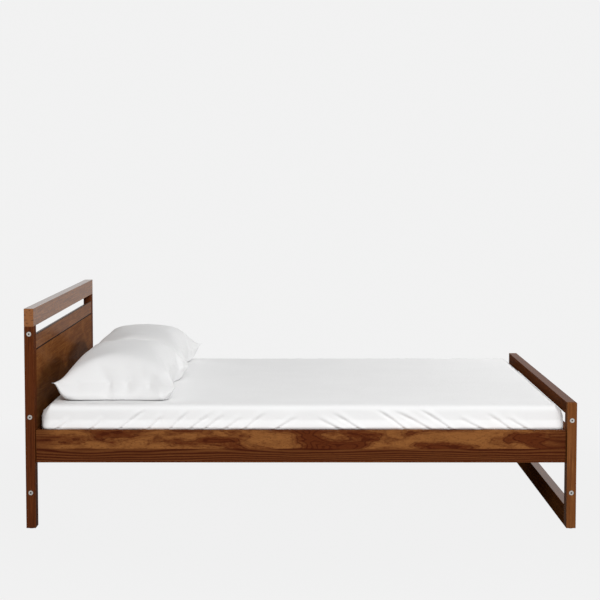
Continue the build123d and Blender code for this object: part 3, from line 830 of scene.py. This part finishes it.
def sheet_swell(slab, drop, linen):
    """How far each point of the sheet stands out from the mattress."""
    x = slab.plan[:, 0] + slab.centre[0]
    y = slab.plan[:, 1]
    height = SHEET_TOP - drop
    above = height - RAIL_TOP
    on_side = smooth_step((drop - 0.012) / 0.02)
    long_side = smooth_step((np.abs(slab.outward[:, 1]) - 0.5) / 0.4)
    side_sign = np.sign(slab.outward[:, 1])
    folds = np.zeros(len(x))
    for sign, shift in ((-1, 0.0), (1, FAR_SHIFT)):
        these = pulled_folds(x, above, LONG_FOLDS, shift, linen.fold_depth)
        folds = folds + these * long_side * (side_sign == sign)
    ends = pulled_folds(y, above, SHORT_FOLDS, 0.0, linen.fold_depth * END_FOLDS)
    folds = folds + ends * (1 - long_side)
    seat = np.clip(above / HEM_HEIGHT, 0, 1) ** 0.4
    bulge = np.sin(np.pi * seat) * (above > 0) * (1 + 0.22 * waves(x, y, 5, low=3, high=12))
    bulge = bulge * (linen.hem_bulge * long_side + END_BULGE * (1 - long_side))
    soft = 0.0006 * waves(x, y, 11, low=2, high=7) * (1 - on_side)
    creases = 0.0005 * waves(x * 0.6, y * 1.3, 23, low=5, high=14) * (1 - on_side)
    return folds * on_side * (above > -0.004) + bulge + soft + creases - 0.0012 * (1 - on_side)


def make_sheet(linen):
    """Returns the sheet, the slab that it was made from, and its points."""
    skirt = SHEET_TOP - (MATTRESS_LOW.z + MATTRESS_EDGE)
    rows = np.linspace(0.0045, skirt - SHEET_EDGE * (1 - math.pi / 4), SHEET_ROWS)
    slab = Slab(SHEET_LOW, SHEET_HIGH, SHEET_CORNER, SHEET_CELL, rows)
    radius = SHEET_EDGE + (END_EDGE - SHEET_EDGE) * smooth_step(np.abs(slab.outward[:, 0]) * 1.25)
    _, drop, _ = slab.profile(radius)
    swell = sheet_swell(slab, drop, linen)
    points = slab.points(radius, SHEET_TOP, swell)
    # Below the rail's top the sheet stays between the rails.
    hidden = points[:, 2] < RAIL_TOP
    limit = RAIL_INNER - RAIL_GAP
    points[hidden, 1] = np.clip(points[hidden, 1], -limit, limit)
    material = cotton("cotton_sheet", tuple(linen.cotton), linen.thread_pitch)
    sheet = new_piece("fitted_sheet_cloth", points, slab.faces(), material, slab.uv())
    return sheet, slab, points


def elastic_hem(slab, points, linen):
    """The gathered elastic edge that holds the sheet under the mattress's lower edge."""
    count = len(slab.loop)
    hem = points[-count:]
    out = np.column_stack([slab.outward[-count:], np.zeros(count)])
    gather = 0.0021 + 0.0007 * np.sin(slab.round * math.tau / GATHER_PITCH)
    middle = hem - out * 0.0030 - np.array([0, 0, 0.0025])
    sections = []
    for k in range(TUBE_SIDES):
        angle = math.tau * k / TUBE_SIDES
        around = out * math.cos(angle) + np.array([0, 0, math.sin(angle)])
        sections.append(middle + around * gather[:, None])
    ring = np.stack(sections, axis=1).reshape(-1, 3)
    faces = ring_faces(count, TUBE_SIDES)
    uv = ring_map(slab.round, TUBE_SIDES, 0.0014)
    return new_piece("elastic_hem", ring, faces, bpy.data.materials["cotton_sheet"], uv)


# --- Geometry Nodes: rows of stitches -------------------------------------------------------
STITCH_SEED = 3
STITCH_SHARE = 0.72          # length of a stitch, next to the pitch
STITCH_THREAD = 0.00045


def stitch_tree():
    """Stitches along a line of edges: resampled, one small bar at each point, realised."""
    tree = bpy.data.node_groups.new("stitch_row", "GeometryNodeTree")
    face = tree.interface
    face.new_socket("Geometry", in_out="OUTPUT", socket_type="NodeSocketGeometry")
    face.new_socket("Geometry", in_out="INPUT", socket_type="NodeSocketGeometry")
    for name in ("Pitch", "Length", "Thread"):
        face.new_socket(name, in_out="INPUT", socket_type="NodeSocketFloat").subtype = "DISTANCE"
    seed = face.new_socket("Seed", in_out="INPUT", socket_type="NodeSocketInt")
    seed.default_value = STITCH_SEED
    face.new_socket("Material", in_out="INPUT", socket_type="NodeSocketMaterial")

    def add(kind, values=None, **settings):
        node = tree.nodes.new(kind)
        for key, value in settings.items():
            setattr(node, key, value)
        for key, value in (values or {}).items():
            if isinstance(value, bpy.types.NodeSocket):
                tree.links.new(value, node.inputs[key])
            else:
                node.inputs[key].default_value = value
        return node

    given = tree.nodes.new("NodeGroupInput").outputs
    line = add("GeometryNodeMeshToCurve", {"Mesh": given["Geometry"]})
    values = {"Curve": line.outputs[0], "Length": given["Pitch"]}
    even = add("GeometryNodeResampleCurve", values, mode="LENGTH")
    values = {
        "Vertices": 6,
        "Side Segments": 2,
        "Radius": given["Thread"],
        "Depth": given["Length"],
    }
    bar = add("GeometryNodeMeshCylinder", values)
    tangent = add("GeometryNodeInputTangent")
    turn = add("FunctionNodeAlignRotationToVector", {"Vector": tangent.outputs[0]}, axis="Z")
    least, most = 2, 3           # sockets of the range from which each stitch's size is drawn
    values = {least: 0.9, most: 1.1, "Seed": given["Seed"]}
    vary = add("FunctionNodeRandomValue", values, data_type="FLOAT")
    values = {
        "Points": even.outputs[0],
        "Instance": bar.outputs[0],
        "Rotation": turn.outputs[0],
        "Scale": vary.outputs[1],
    }
    rows = add("GeometryNodeInstanceOnPoints", values)
    real = add("GeometryNodeRealizeInstances", {"Geometry": rows.outputs[0]})
    values = {"Geometry": real.outputs[0], "Material": given["Material"]}
    finish = add("GeometryNodeSetMaterial", values)
    result = tree.nodes.new("NodeGroupOutput")
    tree.links.new(finish.outputs[0], result.inputs[0])
    return tree


def stitches(name, lines, material, pitch, length=None, radius=STITCH_THREAD):
    """Rows of stitches along lines of points. Each line is (points, whether it closes)."""
    points, edges = [], []
    for line, closes in lines:
        start = len(points)
        points += [tuple(p) for p in line]
        edges += [(start + k, start + k + 1) for k in range(len(line) - 1)]
        if closes:
            edges.append((len(points) - 1, start))
    mesh = bpy.data.meshes.new(name + "_line")
    mesh.from_pydata(points, edges, [])
    guide = placed(name + "_line", mesh)
    tree = bpy.data.node_groups.get("stitch_row") or stitch_tree()
    modifier = guide.modifiers.new("stitches", "NODES")
    modifier.node_group = tree
    length = length or pitch * STITCH_SHARE
    wanted = {"Pitch": pitch, "Length": length, "Thread": radius, "Material": material}
    for item in tree.interface.items_tree:
        if item.in_out == "INPUT" and item.name in wanted:
            modifier[item.identifier] = wanted[item.name]
    row = frozen(guide, name)
    if len(row.data.polygons) == 0:
        raise RuntimeError(f"{name} has no stitches")
    row.data.polygons.foreach_set("use_smooth", [True] * len(row.data.polygons))
    return row


# --- Pillows --------------------------------------------------------------------------------
PILLOW_CELL = 0.0085         # size of the cloth's squares
PILLOW_AIR = 0.020           # half the gap between the two layers before they are filled
PILLOW_FILL = 1.22           # filling stops at this many times the height of the pillow laid down
PILLOW_SMOOTHING = 10        # rounds of evening out
PILLOW_SINK = 0.26           # how much of its height lies below the seam
PILLOW_SPREAD = 0.10         # how far the underside spreads towards the ends
EAR_LIFT = 0.022             # how far the corners tip up
PILLOW_SHIFT = 0.008         # the soft pillow lies this much nearer the foot than its plain block
PILLOW_DOME = 0.05           # how far the crown falls off to the foot side, and twice that to the head
BLUNT_REACH = 0.085          # how far from its tip a blunt corner is rounded
BLUNT_ROUNDS = 16
BLUNT_DROP = 0.018
LAYER_GAP = 3                # the lower layer's cloth coordinates lie this far aside
# Corners that are pushed in and rounded: towards the foot or head, and outer or inner end.
BLUNT_CORNERS = {"left": ((1, 1), (1, -1)), "right": ((1, -1),)}
CLOTH = {
    "quality": 7,
    "mass": 0.25,
    "tension_stiffness": 22,
    "compression_stiffness": 22,
    "shear_stiffness": 6,
    "bending_stiffness": 0.6,
    "use_pressure": True,
    "uniform_pressure_force": 5.0,
}


def envelope(length, width, swell):
    """Two layers of cloth joined all round, laid flat, with a little air between them.

    Returns points, faces, cloth coordinates and the points of the seam in order.
    """
    nu, nv = int(round(width / PILLOW_CELL)), int(round(length / PILLOW_CELL))
    points, uv, index = [], [], {}
    for layer in (1, -1):
        for i in range(nu + 1):
            for j in range(nv + 1):
                rim = i in (0, nu) or j in (0, nv)
                if rim and layer < 0:
                    index[layer, i, j] = index[1, i, j]
                    continue
                a, b = 2 * i / nu - 1, 2 * j / nv - 1
                lift = swell * (1 - a ** 4) * (1 - b ** 4) * layer
                index[layer, i, j] = len(points)
                points.append((a * width / 2, b * length / 2, lift))
                uv.append((a * width / 2, b * length / 2 + (0 if layer > 0 else LAYER_GAP)))
    faces = []
    for i in range(nu):
        for j in range(nv):
            corners = [(i, j), (i + 1, j), (i + 1, j + 1), (i, j + 1)]
            faces.append(tuple(index[1, a, b] for a, b in corners))
            faces.append(tuple(index[-1, a, b] for a, b in reversed(corners)))
    seam = [index[1, i, 0] for i in range(nu + 1)]
    seam += [index[1, nu, j] for j in range(1, nv + 1)]
    seam += [index[1, i, nv] for i in range(nu - 1, -1, -1)]
    seam += [index[1, 0, j] for j in range(nv - 1, 0, -1)]
    return np.array(points), faces, np.array(uv), seam


def unfolded(uv):
    """Cloth coordinates with both layers laid on each other."""
    return np.column_stack([uv[:, 0], (uv[:, 1] + LAYER_GAP / 2) % LAYER_GAP - LAYER_GAP / 2])


def fill(pillow, height, frames):
    """Blows the cloth up until it is as high as a filled pillow, and returns its points."""
    scene = bpy.context.scene
    cloth = pillow.modifiers.new("filling", "CLOTH")
    for key, value in CLOTH.items():
        setattr(cloth.settings, key, value)
    cloth.settings.effector_weights.gravity = 0
    cloth.collision_settings.use_collision = False
    cloth.point_cache.frame_start = 1
    cloth.point_cache.frame_end = frames
    points = None
    for step in range(1, frames + 1):
        scene.frame_set(step)
        graph = bpy.context.evaluated_depsgraph_get()
        shown = pillow.evaluated_get(graph).to_mesh()
        points = np.zeros(len(shown.vertices) * 3)
        shown.vertices.foreach_get("co", points)
        points = points.reshape(-1, 3)
        if np.ptp(points[:, 2]) > height:
            break
    pillow.modifiers.remove(cloth)
    scene.frame_set(1)
    return points


def relaxed(points, faces, held, rounds):
    """Evens out the small wrinkles. The held points stay where they are."""
    quads = np.array(faces)
    pairs = np.vstack([quads[:, [0, 1]], quads[:, [1, 2]], quads[:, [2, 3]], quads[:, [3, 0]]])
    count = np.bincount(pairs.ravel(), minlength=len(points))[:, None]
    free = np.ones((len(points), 1))
    free[held] = 0
    for _ in range(rounds):
        total = np.zeros_like(points)
        np.add.at(total, pairs[:, 0], points[pairs[:, 1]])
        np.add.at(total, pairs[:, 1], points[pairs[:, 0]])
        points = points + 0.5 * free * (total / count - points)
    return points


def settled(points, uv, linen, height):
    """Lays the filled case down: its underside spreads flat and its corners tip up."""
    x, y, z = points.T
    base = PILLOW_SINK * height
    soft = 0.006
    low = smooth_step((0.3 * base - z) / base)
    spread = 1 + PILLOW_SPREAD * low
    z = soft * np.logaddexp(0, (z + base) / soft)
    z = z - z.min()
    z = z * (height / z.max())
    across, along = (np.abs(unfolded(uv)) / (linen.pillow_width / 2, linen.pillow_length / 2)).T
    ear = smooth_step((along - 0.80) / 0.2) * smooth_step((across - 0.74) / 0.26)
    z = z * (1 - PILLOW_DOME * np.where(x < 0, 2, 1) * (x / np.abs(x).max()) ** 2)
    return np.column_stack([x, y * spread, z + EAR_LIFT * ear])


def make_pillow(side, linen):
    """Returns a filled pillow in its place, and the points of its seam."""
    sign, height = SIDES[side], linen.pillow_height
    low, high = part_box(f"pillowcase_{side}")
    points, faces, uv, seam = envelope(linen.pillow_length, linen.pillow_width, PILLOW_AIR)
    material = bpy.data.materials["cotton_pillowcase"]
    pillow = new_piece(f"pillowcase_{side}_cloth", points, faces, material, uv)
    points = fill(pillow, height * PILLOW_FILL, linen.inflate_frames)
    points = relaxed(points, faces, seam, PILLOW_SMOOTHING)
    points = settled(points, uv, linen, height)
    for foot, outer in BLUNT_CORNERS[side]:
        corner = np.array((foot * linen.pillow_width, outer * linen.pillow_length)) / 2
        distance = np.linalg.norm(unfolded(uv) - corner, axis=1)
        points = relaxed(points, faces, np.flatnonzero(distance > BLUNT_REACH), BLUNT_ROUNDS)
        points[:, 2] -= BLUNT_DROP * bell(distance / BLUNT_REACH * 1.6)
        points[:, 2] = np.maximum(points[:, 2], 0)
    middle = ((low.x + high.x) / 2 + PILLOW_SHIFT, (low.y + high.y) / 2, PILLOW_FLOOR)
    place = points * (1, sign, 1) + middle
    pillow.data.vertices.foreach_set("co", place.ravel())
    if sign < 0:
        pillow.data.flip_normals()
    pillow.data.update()
    subdivide = pillow.modifiers.new("smooth", "SUBSURF")
    subdivide.levels = subdivide.render_levels = 1
    pillow = frozen(pillow, f"pillowcase_{side}_cloth")
    return pillow, place[seam]


# --- Operators ------------------------------------------------------------------------------
def bed_settings():
    return bpy.context.scene.platform_bed


def dress(node, material):
    """Gives a CAD node one material."""
    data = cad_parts[node].data
    data.materials.clear()
    data.materials.append(material)


WHITE = (1, 1, 1, 1)
FLOOR_GREY = (0.18, 0.18, 0.18, 1)
FLOOR_HALF = 60              # metres from the bed to the floor's edge
SHADOW_EDGE = (2.6, 1.2)     # the bed's faint shadow ends between these distances
SHADOW_SHARE = 0.02


class BED_OT_stage(bpy.types.Operator):
    """Makes the floor, the lights and the camera"""

    bl_idname = "platform_bed.stage"
    bl_label = "Stage"

    def execute(self, context):
        stage = bed_settings().stage
        make_world(stage)
        make_floor(stage)
        make_lights(stage)
        make_camera(stage)
        context.scene.view_settings.view_transform = "Standard"
        return {"FINISHED"}


def white_background(tree, strength):
    light = tree.nodes.new("ShaderNodeBackground")
    light.inputs["Color"].default_value = WHITE
    light.inputs["Strength"].default_value = strength
    return light


def make_world(stage):
    """A pale backdrop. It shows bright, and lights and reflects in the bed less."""
    world = bpy.data.worlds.new("studio")
    bpy.context.scene.world = world
    world.use_nodes = True
    tree = world.node_tree
    tree.nodes.clear()
    path = tree.nodes.new("ShaderNodeLightPath")
    target = tree.nodes.new("ShaderNodeOutputWorld")
    shown = white_background(tree, stage.gloss)
    for ray, strength in (("Is Diffuse Ray", stage.ambient), ("Is Camera Ray", stage.backdrop)):
        mix = tree.nodes.new("ShaderNodeMixShader")
        tree.links.new(path.outputs[ray], mix.inputs[0])
        tree.links.new(shown.outputs[0], mix.inputs[1])
        tree.links.new(white_background(tree, strength).outputs[0], mix.inputs[2])
        shown = mix
    tree.links.new(shown.outputs[0], target.inputs["Surface"])


def make_floor(stage):
    """A pale floor that runs into the backdrop."""
    corners = [(x * FLOOR_HALF, y * FLOOR_HALF, 0) for x, y in ((-1, -1), (1, -1), (1, 1), (-1, 1))]
    floor = new_piece("floor", corners, [(0, 1, 2, 3)], floor_material(stage))


def floor_material(stage):
    """A floor as bright as the backdrop, with a trace of shadow near the bed."""
    s = Shader("pale_floor")
    glow = s.node("ShaderNodeEmission", values={"Color": WHITE, "Strength": stage.backdrop})
    sheen = s.node("ShaderNodeEmission", values={"Color": WHITE, "Strength": stage.gloss})
    matt = s.node("ShaderNodeBsdfDiffuse", values={"Color": FLOOR_GREY})
    x, y, _ = s.place()
    near = (x * x + y * y).sqrt().step(*SHADOW_EDGE)
    seen = s.node("ShaderNodeLightPath", output="Is Camera Ray")
    mirrored = s.node("ShaderNodeLightPath", output="Is Glossy Ray")
    plain = s.node("ShaderNodeMixShader", values={0: near * SHADOW_SHARE, 1: glow, 2: matt})
    hidden = s.node("ShaderNodeMixShader", values={0: mirrored, 1: matt, 2: sheen})
    return s.output(s.node("ShaderNodeMixShader", values={0: seen, 1: hidden, 2: plain}))


def area_light(name, place, aim, size, power):
    """A soft light at a place, turned towards its aim."""
    data = bpy.data.lights.new(name, "AREA")
    data.shape = "RECTANGLE"
    data.size, data.size_y = size
    data.energy = power
    light = placed(name, data)
    light.location = place
    light.rotation_euler = (Vector(aim) - Vector(place)).to_track_quat("-Z", "Y").to_euler()
    return light


def make_lights(stage):
    """Four soft lights. The one behind doesn't mirror in the varnish."""
    area_light("key", (0.7, -6.3, 3.1), (0, 0, 0.3), (3.0, 2.0), stage.key)
    area_light("side", (3.6, 1.7, 1.95), (-1.0, 0, 0.6), (1.2, 0.8), stage.side)
    back = area_light("back", (-1.2, 6.4, 2.4), (0, 0, 0.3), (3.4, 2.0), stage.back)
    back.visible_glossy = False
    area_light("overhead", (0.4, -0.3, 3.2), (0, 0, 0.4), (3.0, 2.4), stage.top)


def make_camera(stage):
    """A camera at the near side, a little above the bed."""
    data = bpy.data.cameras.new("camera")
    data.lens = stage.lens
    data.sensor_width = 36
    data.clip_end = 200
    camera = placed("camera", data)
    camera.location = (stage.camera_aside, -stage.camera_distance, stage.camera_height)
    camera.rotation_euler = (math.pi / 2 - stage.camera_tilt, 0, stage.camera_turn)
    bpy.context.scene.camera = camera


class BED_OT_boards(bpy.types.Operator):
    """Finishes the walnut boards of the frame, each with a grain of its own"""

    bl_idname = "platform_bed.boards"
    bl_label = "Walnut boards"

    def execute(self, context):
        for number, name in enumerate(BOARDS):
            dress(name, walnut(name, FIRST_SEED + SEED_STEP * number, bed_settings().wood))
        return {"FINISHED"}


class BED_OT_slat_base(bpy.types.Operator):
    """Finishes the slats, ledgers, beam and dowels"""

    bl_idname = "platform_bed.slat_base"
    bl_label = "Slat base"

    def execute(self, context):
        wood = bed_settings().wood
        slats = sorted(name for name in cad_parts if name.startswith(("slat_0", "slat_1")))
        first, second = (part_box(name) for name in slats[:2])
        pitch = second[0].x - first[0].x
        middle = (first[0].x + first[1].x) / 2
        across = pine("pine_slats", "y", wood, pitch, middle)
        lengthwise = pine("pine_lengthwise", "x", wood)
        for name in slats:
            dress(name, across)
        for name in ("slat_ledger_left", "slat_ledger_right", "centre_beam"):
            dress(name, lengthwise)
        dress("dowels", pine("beech_dowels", "y", wood))
        return {"FINISHED"}


class BED_OT_fittings(bpy.types.Operator):
    """Finishes the bolts, inserts, screws, brackets and glides"""

    bl_idname = "platform_bed.fittings"
    bl_label = "Fittings"

    def execute(self, context):
        metal = bed_settings().metal
        bolt_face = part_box("leg_bolts")[1].y
        dress("leg_bolts", plated("nickel_bolts", tuple(metal.bolt), 900, 0.46, bolt_face))
        zinc = plated("zinc_screws", tuple(metal.zinc), 200, 0.38)
        for name in ("threaded_inserts", "bracket_screws", "ledger_screws", "slat_screws"):
            dress(name, zinc)
        coat = powder_coat("powder_coat", tuple(metal.powder))
        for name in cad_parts:
            if name.startswith(("corner_bracket", "beam_hanger")):
                dress(name, coat)
        dress("floor_glides", moulded("moulded_glides", tuple(metal.glide)))
        return {"FINISHED"}


class BED_OT_mattress(bpy.types.Operator):
    """Makes the quilted mattress with its taped edges"""

    bl_idname = "platform_bed.mattress"
    bl_label = "Mattress"

    def execute(self, context):
        linen = bed_settings().linen
        cover = ticking("mattress_ticking", tuple(linen.ticking), linen.thread_pitch)
        mattress, tape, quilt = make_mattress(linen, cover)
        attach(mattress, "mattress")
        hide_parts("mattress")
        for piece in (tape, quilt):
            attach(piece, "mattress")
        return {"FINISHED"}


def tube(name, path, radius, material):
    """A closed round tube along a level loop of points."""
    forward = np.roll(path, -1, axis=0) - np.roll(path, 1, axis=0)
    forward /= np.linalg.norm(forward, axis=1)[:, None]
    side = np.cross(forward, (0, 0, 1))
    side /= np.linalg.norm(side, axis=1)[:, None]
    up = np.cross(side, forward)
    rings = []
    for k in range(TUBE_SIDES):
        angle = math.tau * k / TUBE_SIDES
        rings.append(path + radius * (math.cos(angle) * side + math.sin(angle) * up))
    points = np.stack(rings, axis=1).reshape(-1, 3)
    faces = ring_faces(len(path), TUBE_SIDES)
    uv = ring_map(distance_along(path), TUBE_SIDES, math.tau * radius / TUBE_SIDES)
    piece = new_piece(name, points, faces, material, uv)
    mesh = bmesh.new()
    mesh.from_mesh(piece.data)
    bmesh.ops.recalc_face_normals(mesh, faces=mesh.faces)
    mesh.to_mesh(piece.data)
    mesh.free()
    return piece


MATTRESS_CORNER = 0.044      # rounding of the mattress's corners, seen from above
MATTRESS_EDGE = 0.021        # rounding of its upper and lower edges along the long sides
MATTRESS_CELL = (0.018, 0.015)
MATTRESS_ROWS = 15
SHEET_ROOM = 0.006           # the cover gives way this much under the stretched sheet
QUILT_WIDTH = 0.014          # half the width of a quilted valley
QUILT_REACH = (0.93, 0.74)   # the rows of stitches reach this far along the bed and across it
QUILT_STITCH = (0.0075, 0.0055, 0.0006)   # pitch, length and thickness
TAPE_RADIUS = 0.0042


def quilt_wave(x):
    """How far the quilted lines wander sideways along the bed."""
    return 0.018 * np.sin(math.tau * x / 0.42)


def quilting(x, y, linen):
    """Depth of the quilted lines on the mattress's faces: waved channels along the bed."""
    pitch = linen.quilt_pitch
    phase = (y + quilt_wave(x)) / pitch
    from_line = np.abs(phase - np.round(phase)) * pitch
    return linen.quilt_depth * bell(from_line / QUILT_WIDTH)


def make_mattress(linen, cover):
    """Returns the mattress, the tape round its lower edge, and its stitches."""
    height = MATTRESS_HIGH.z - MATTRESS_LOW.z
    reach = MATTRESS_EDGE * math.pi / 4
    rows = np.linspace(0.008, height - 2 * (MATTRESS_EDGE - reach), MATTRESS_ROWS)[:-1]
    slab = Slab(MATTRESS_LOW, MATTRESS_HIGH, MATTRESS_CORNER, MATTRESS_CELL, rows)
    at_end = smooth_step(np.abs(slab.outward[:, 0]) * 1.25)
    edge = MATTRESS_EDGE + (END_EDGE + 0.012 - MATTRESS_EDGE) * at_end
    upper = slab.points(edge, MATTRESS_HIGH.z)
    count = len(slab.loop)
    # The sides go straight down, a little in from the sheet at half their height.
    for row in range(len(slab.rows)):
        span = slice(len(slab.top) + row * count, len(slab.top) + (row + 1) * count)
        share = (row + 1) / (len(slab.rows) + 1)
        level = MATTRESS_HIGH.z - MATTRESS_EDGE - (height - 2 * MATTRESS_EDGE) * share
        waist = SHEET_ROOM * math.sin(math.pi * share) ** 0.5
        plan = slab.plan[span] - slab.outward[span] * waist + slab.centre
        upper[span] = np.column_stack([plan, np.full(count, level)])
    ring, inner = slab.loop, slab.inner_top()
    top = upper[:len(slab.top)].copy()
    inside = -slab.t[:len(slab.top)]
    away = smooth_step((inside - 0.03) / 0.05)
    sunk = quilting(top[:, 0], top[:, 1], linen) * away
    under = top.copy()
    under[:, 2] = MATTRESS_LOW.z + (MATTRESS_HIGH.z - top[:, 2]) + sunk
    top[:, 2] -= sunk + SHEET_ROOM
    upper[:len(slab.top)] = top
    points = np.vstack([upper, under[ring], under[inner]])
    slab.rows = np.append(slab.rows, 1.0)   # the border of the underside is one more row
    faces = slab.faces(closed=True)
    uv_top = slab.plan[:len(slab.top)]
    levels = [np.full(count, 3.0 + 0.01 * row) for row in range(len(slab.rows))]
    border = [np.column_stack([slab.round, level]) for level in levels]
    uv = np.vstack([uv_top] + border + [uv_top[inner]])
    mattress = new_piece("mattress_cover", points, faces, cover, uv)

    plan = slab.plan[ring] - slab.outward[ring] * (MATTRESS_EDGE * 0.3 + 0.0009) + slab.centre
    path = np.column_stack([plan, np.full(count, MATTRESS_LOW.z + MATTRESS_EDGE * 0.3)])
    tape = tube("mattress_tape", path, TAPE_RADIUS, cover)

    lines = []
    along, across = QUILT_REACH
    span = np.linspace(-along, along, 180) + slab.centre[0]
    tracks = int(across / linen.quilt_pitch)
    for track in range(-tracks, tracks + 1):
        y = track * linen.quilt_pitch - quilt_wave(span)
        z = np.full(len(span), MATTRESS_LOW.z + linen.quilt_depth - 0.0004)
        lines.append((np.column_stack([span, y, z]), False))
    sewing = thread("quilting_thread", srgb(206, 200, 190))
    quilt = stitches("quilting_stitches", lines, sewing, *QUILT_STITCH)
    return mattress, tape, quilt


class BED_OT_sheet(bpy.types.Operator):
    """Makes the fitted sheet, pulled tight over the mattress, and its elastic hem"""

    bl_idname = "platform_bed.fitted_sheet"
    bl_label = "Fitted sheet"

    def execute(self, context):
        linen = bed_settings().linen
        sheet, slab, points = make_sheet(linen)
        hem = elastic_hem(slab, points, linen)
        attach(sheet, "mattress")
        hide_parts("fitted_sheet")
        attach(hem, "mattress")
        width, length = (SHEET_HIGH[axis] - SHEET_LOW[axis] for axis in (1, 0))
        deep = 2 * (SHEET_TOP - MATTRESS_LOW.z + TURNED_UNDER)
        flat = (width + deep, length + deep)
        corners = 4 * (deep / 2) ** 2
        flat[0] * flat[1] - corners
        return {"FINISHED"}


class BED_OT_pillows(bpy.types.Operator):
    """Fills the two pillows and sews their cases"""

    bl_idname = "platform_bed.pillows"
    bl_label = "Pillows"

    def execute(self, context):
        linen = bed_settings().linen
        cotton("cotton_pillowcase", tuple(linen.case), linen.thread_pitch)
        sewing = thread("case_thread", srgb(226, 226, 224))
        for side in SIDES:
            pillow, seam = make_pillow(side, linen)
            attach(pillow, f"pillow_{side}")
            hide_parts(f"pillow_{side}", f"pillowcase_{side}")
            row = seam_stitches(side, pillow, seam, sewing, linen)
            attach(row, f"pillow_{side}")
        return {"FINISHED"}


SEAM_INSET = 0.005


def seam_stitches(side, pillow, seam, sewing, linen):
    """A row of stitches on the upper cloth, a few millimetres in from the seam."""
    tree = BVHTree.FromObject(pillow, bpy.context.evaluated_depsgraph_get())
    centre = seam.mean(axis=0)
    line = []
    for point in seam:
        inward = Vector((centre[0] - point[0], centre[1] - point[1], 0)).normalized() * SEAM_INSET
        above = Vector(point) + inward + Vector((0, 0, 0.05))
        hit, _, _, _ = tree.ray_cast(above, Vector((0, 0, -1)))
        spot = hit or Vector(point)
        line.append((spot.x, spot.y, spot.z + 0.0001))
    return stitches(f"case_stitches_{side}", [(line, True)], sewing, linen.stitch_pitch)


class BED_PT_panel(bpy.types.Panel):
    """Lists the steps that finish the bed"""

    bl_idname = "BED_PT_panel"
    bl_label = "Platform bed"
    bl_space_type = "VIEW_3D"
    bl_region_type = "UI"
    bl_category = "Bed"

    def draw(self, context):
        bed = context.scene.platform_bed
        for group in (bed.wood, bed.metal, bed.linen, bed.stage):
            box = self.layout.box()
            for name in group.__annotations__:
                box.prop(group, name)
        for operator in OPERATORS:
            self.layout.operator(operator.bl_idname)


GROUPS = (WoodSettings, MetalSettings, LinenSettings, StageSettings, BedSettings)
OPERATORS = (
    BED_OT_stage,
    BED_OT_boards,
    BED_OT_slat_base,
    BED_OT_fittings,
    BED_OT_mattress,
    BED_OT_sheet,
    BED_OT_pillows,
)


def register():
    for item in (*GROUPS, *OPERATORS, BED_PT_panel):
        bpy.utils.register_class(item)
    bpy.types.Scene.platform_bed = PointerProperty(type=BedSettings)


def unregister():
    del bpy.types.Scene.platform_bed
    for item in reversed((*GROUPS, *OPERATORS, BED_PT_panel)):
        bpy.utils.unregister_class(item)


def main():
    register()
    bpy.ops.platform_bed.stage()
    bpy.ops.platform_bed.boards()
    bpy.ops.platform_bed.slat_base()
    bpy.ops.platform_bed.fittings()
    bpy.ops.platform_bed.mattress()
    bpy.ops.platform_bed.fitted_sheet()
    bpy.ops.platform_bed.pillows()


if __name__ == "__main__":
    main()
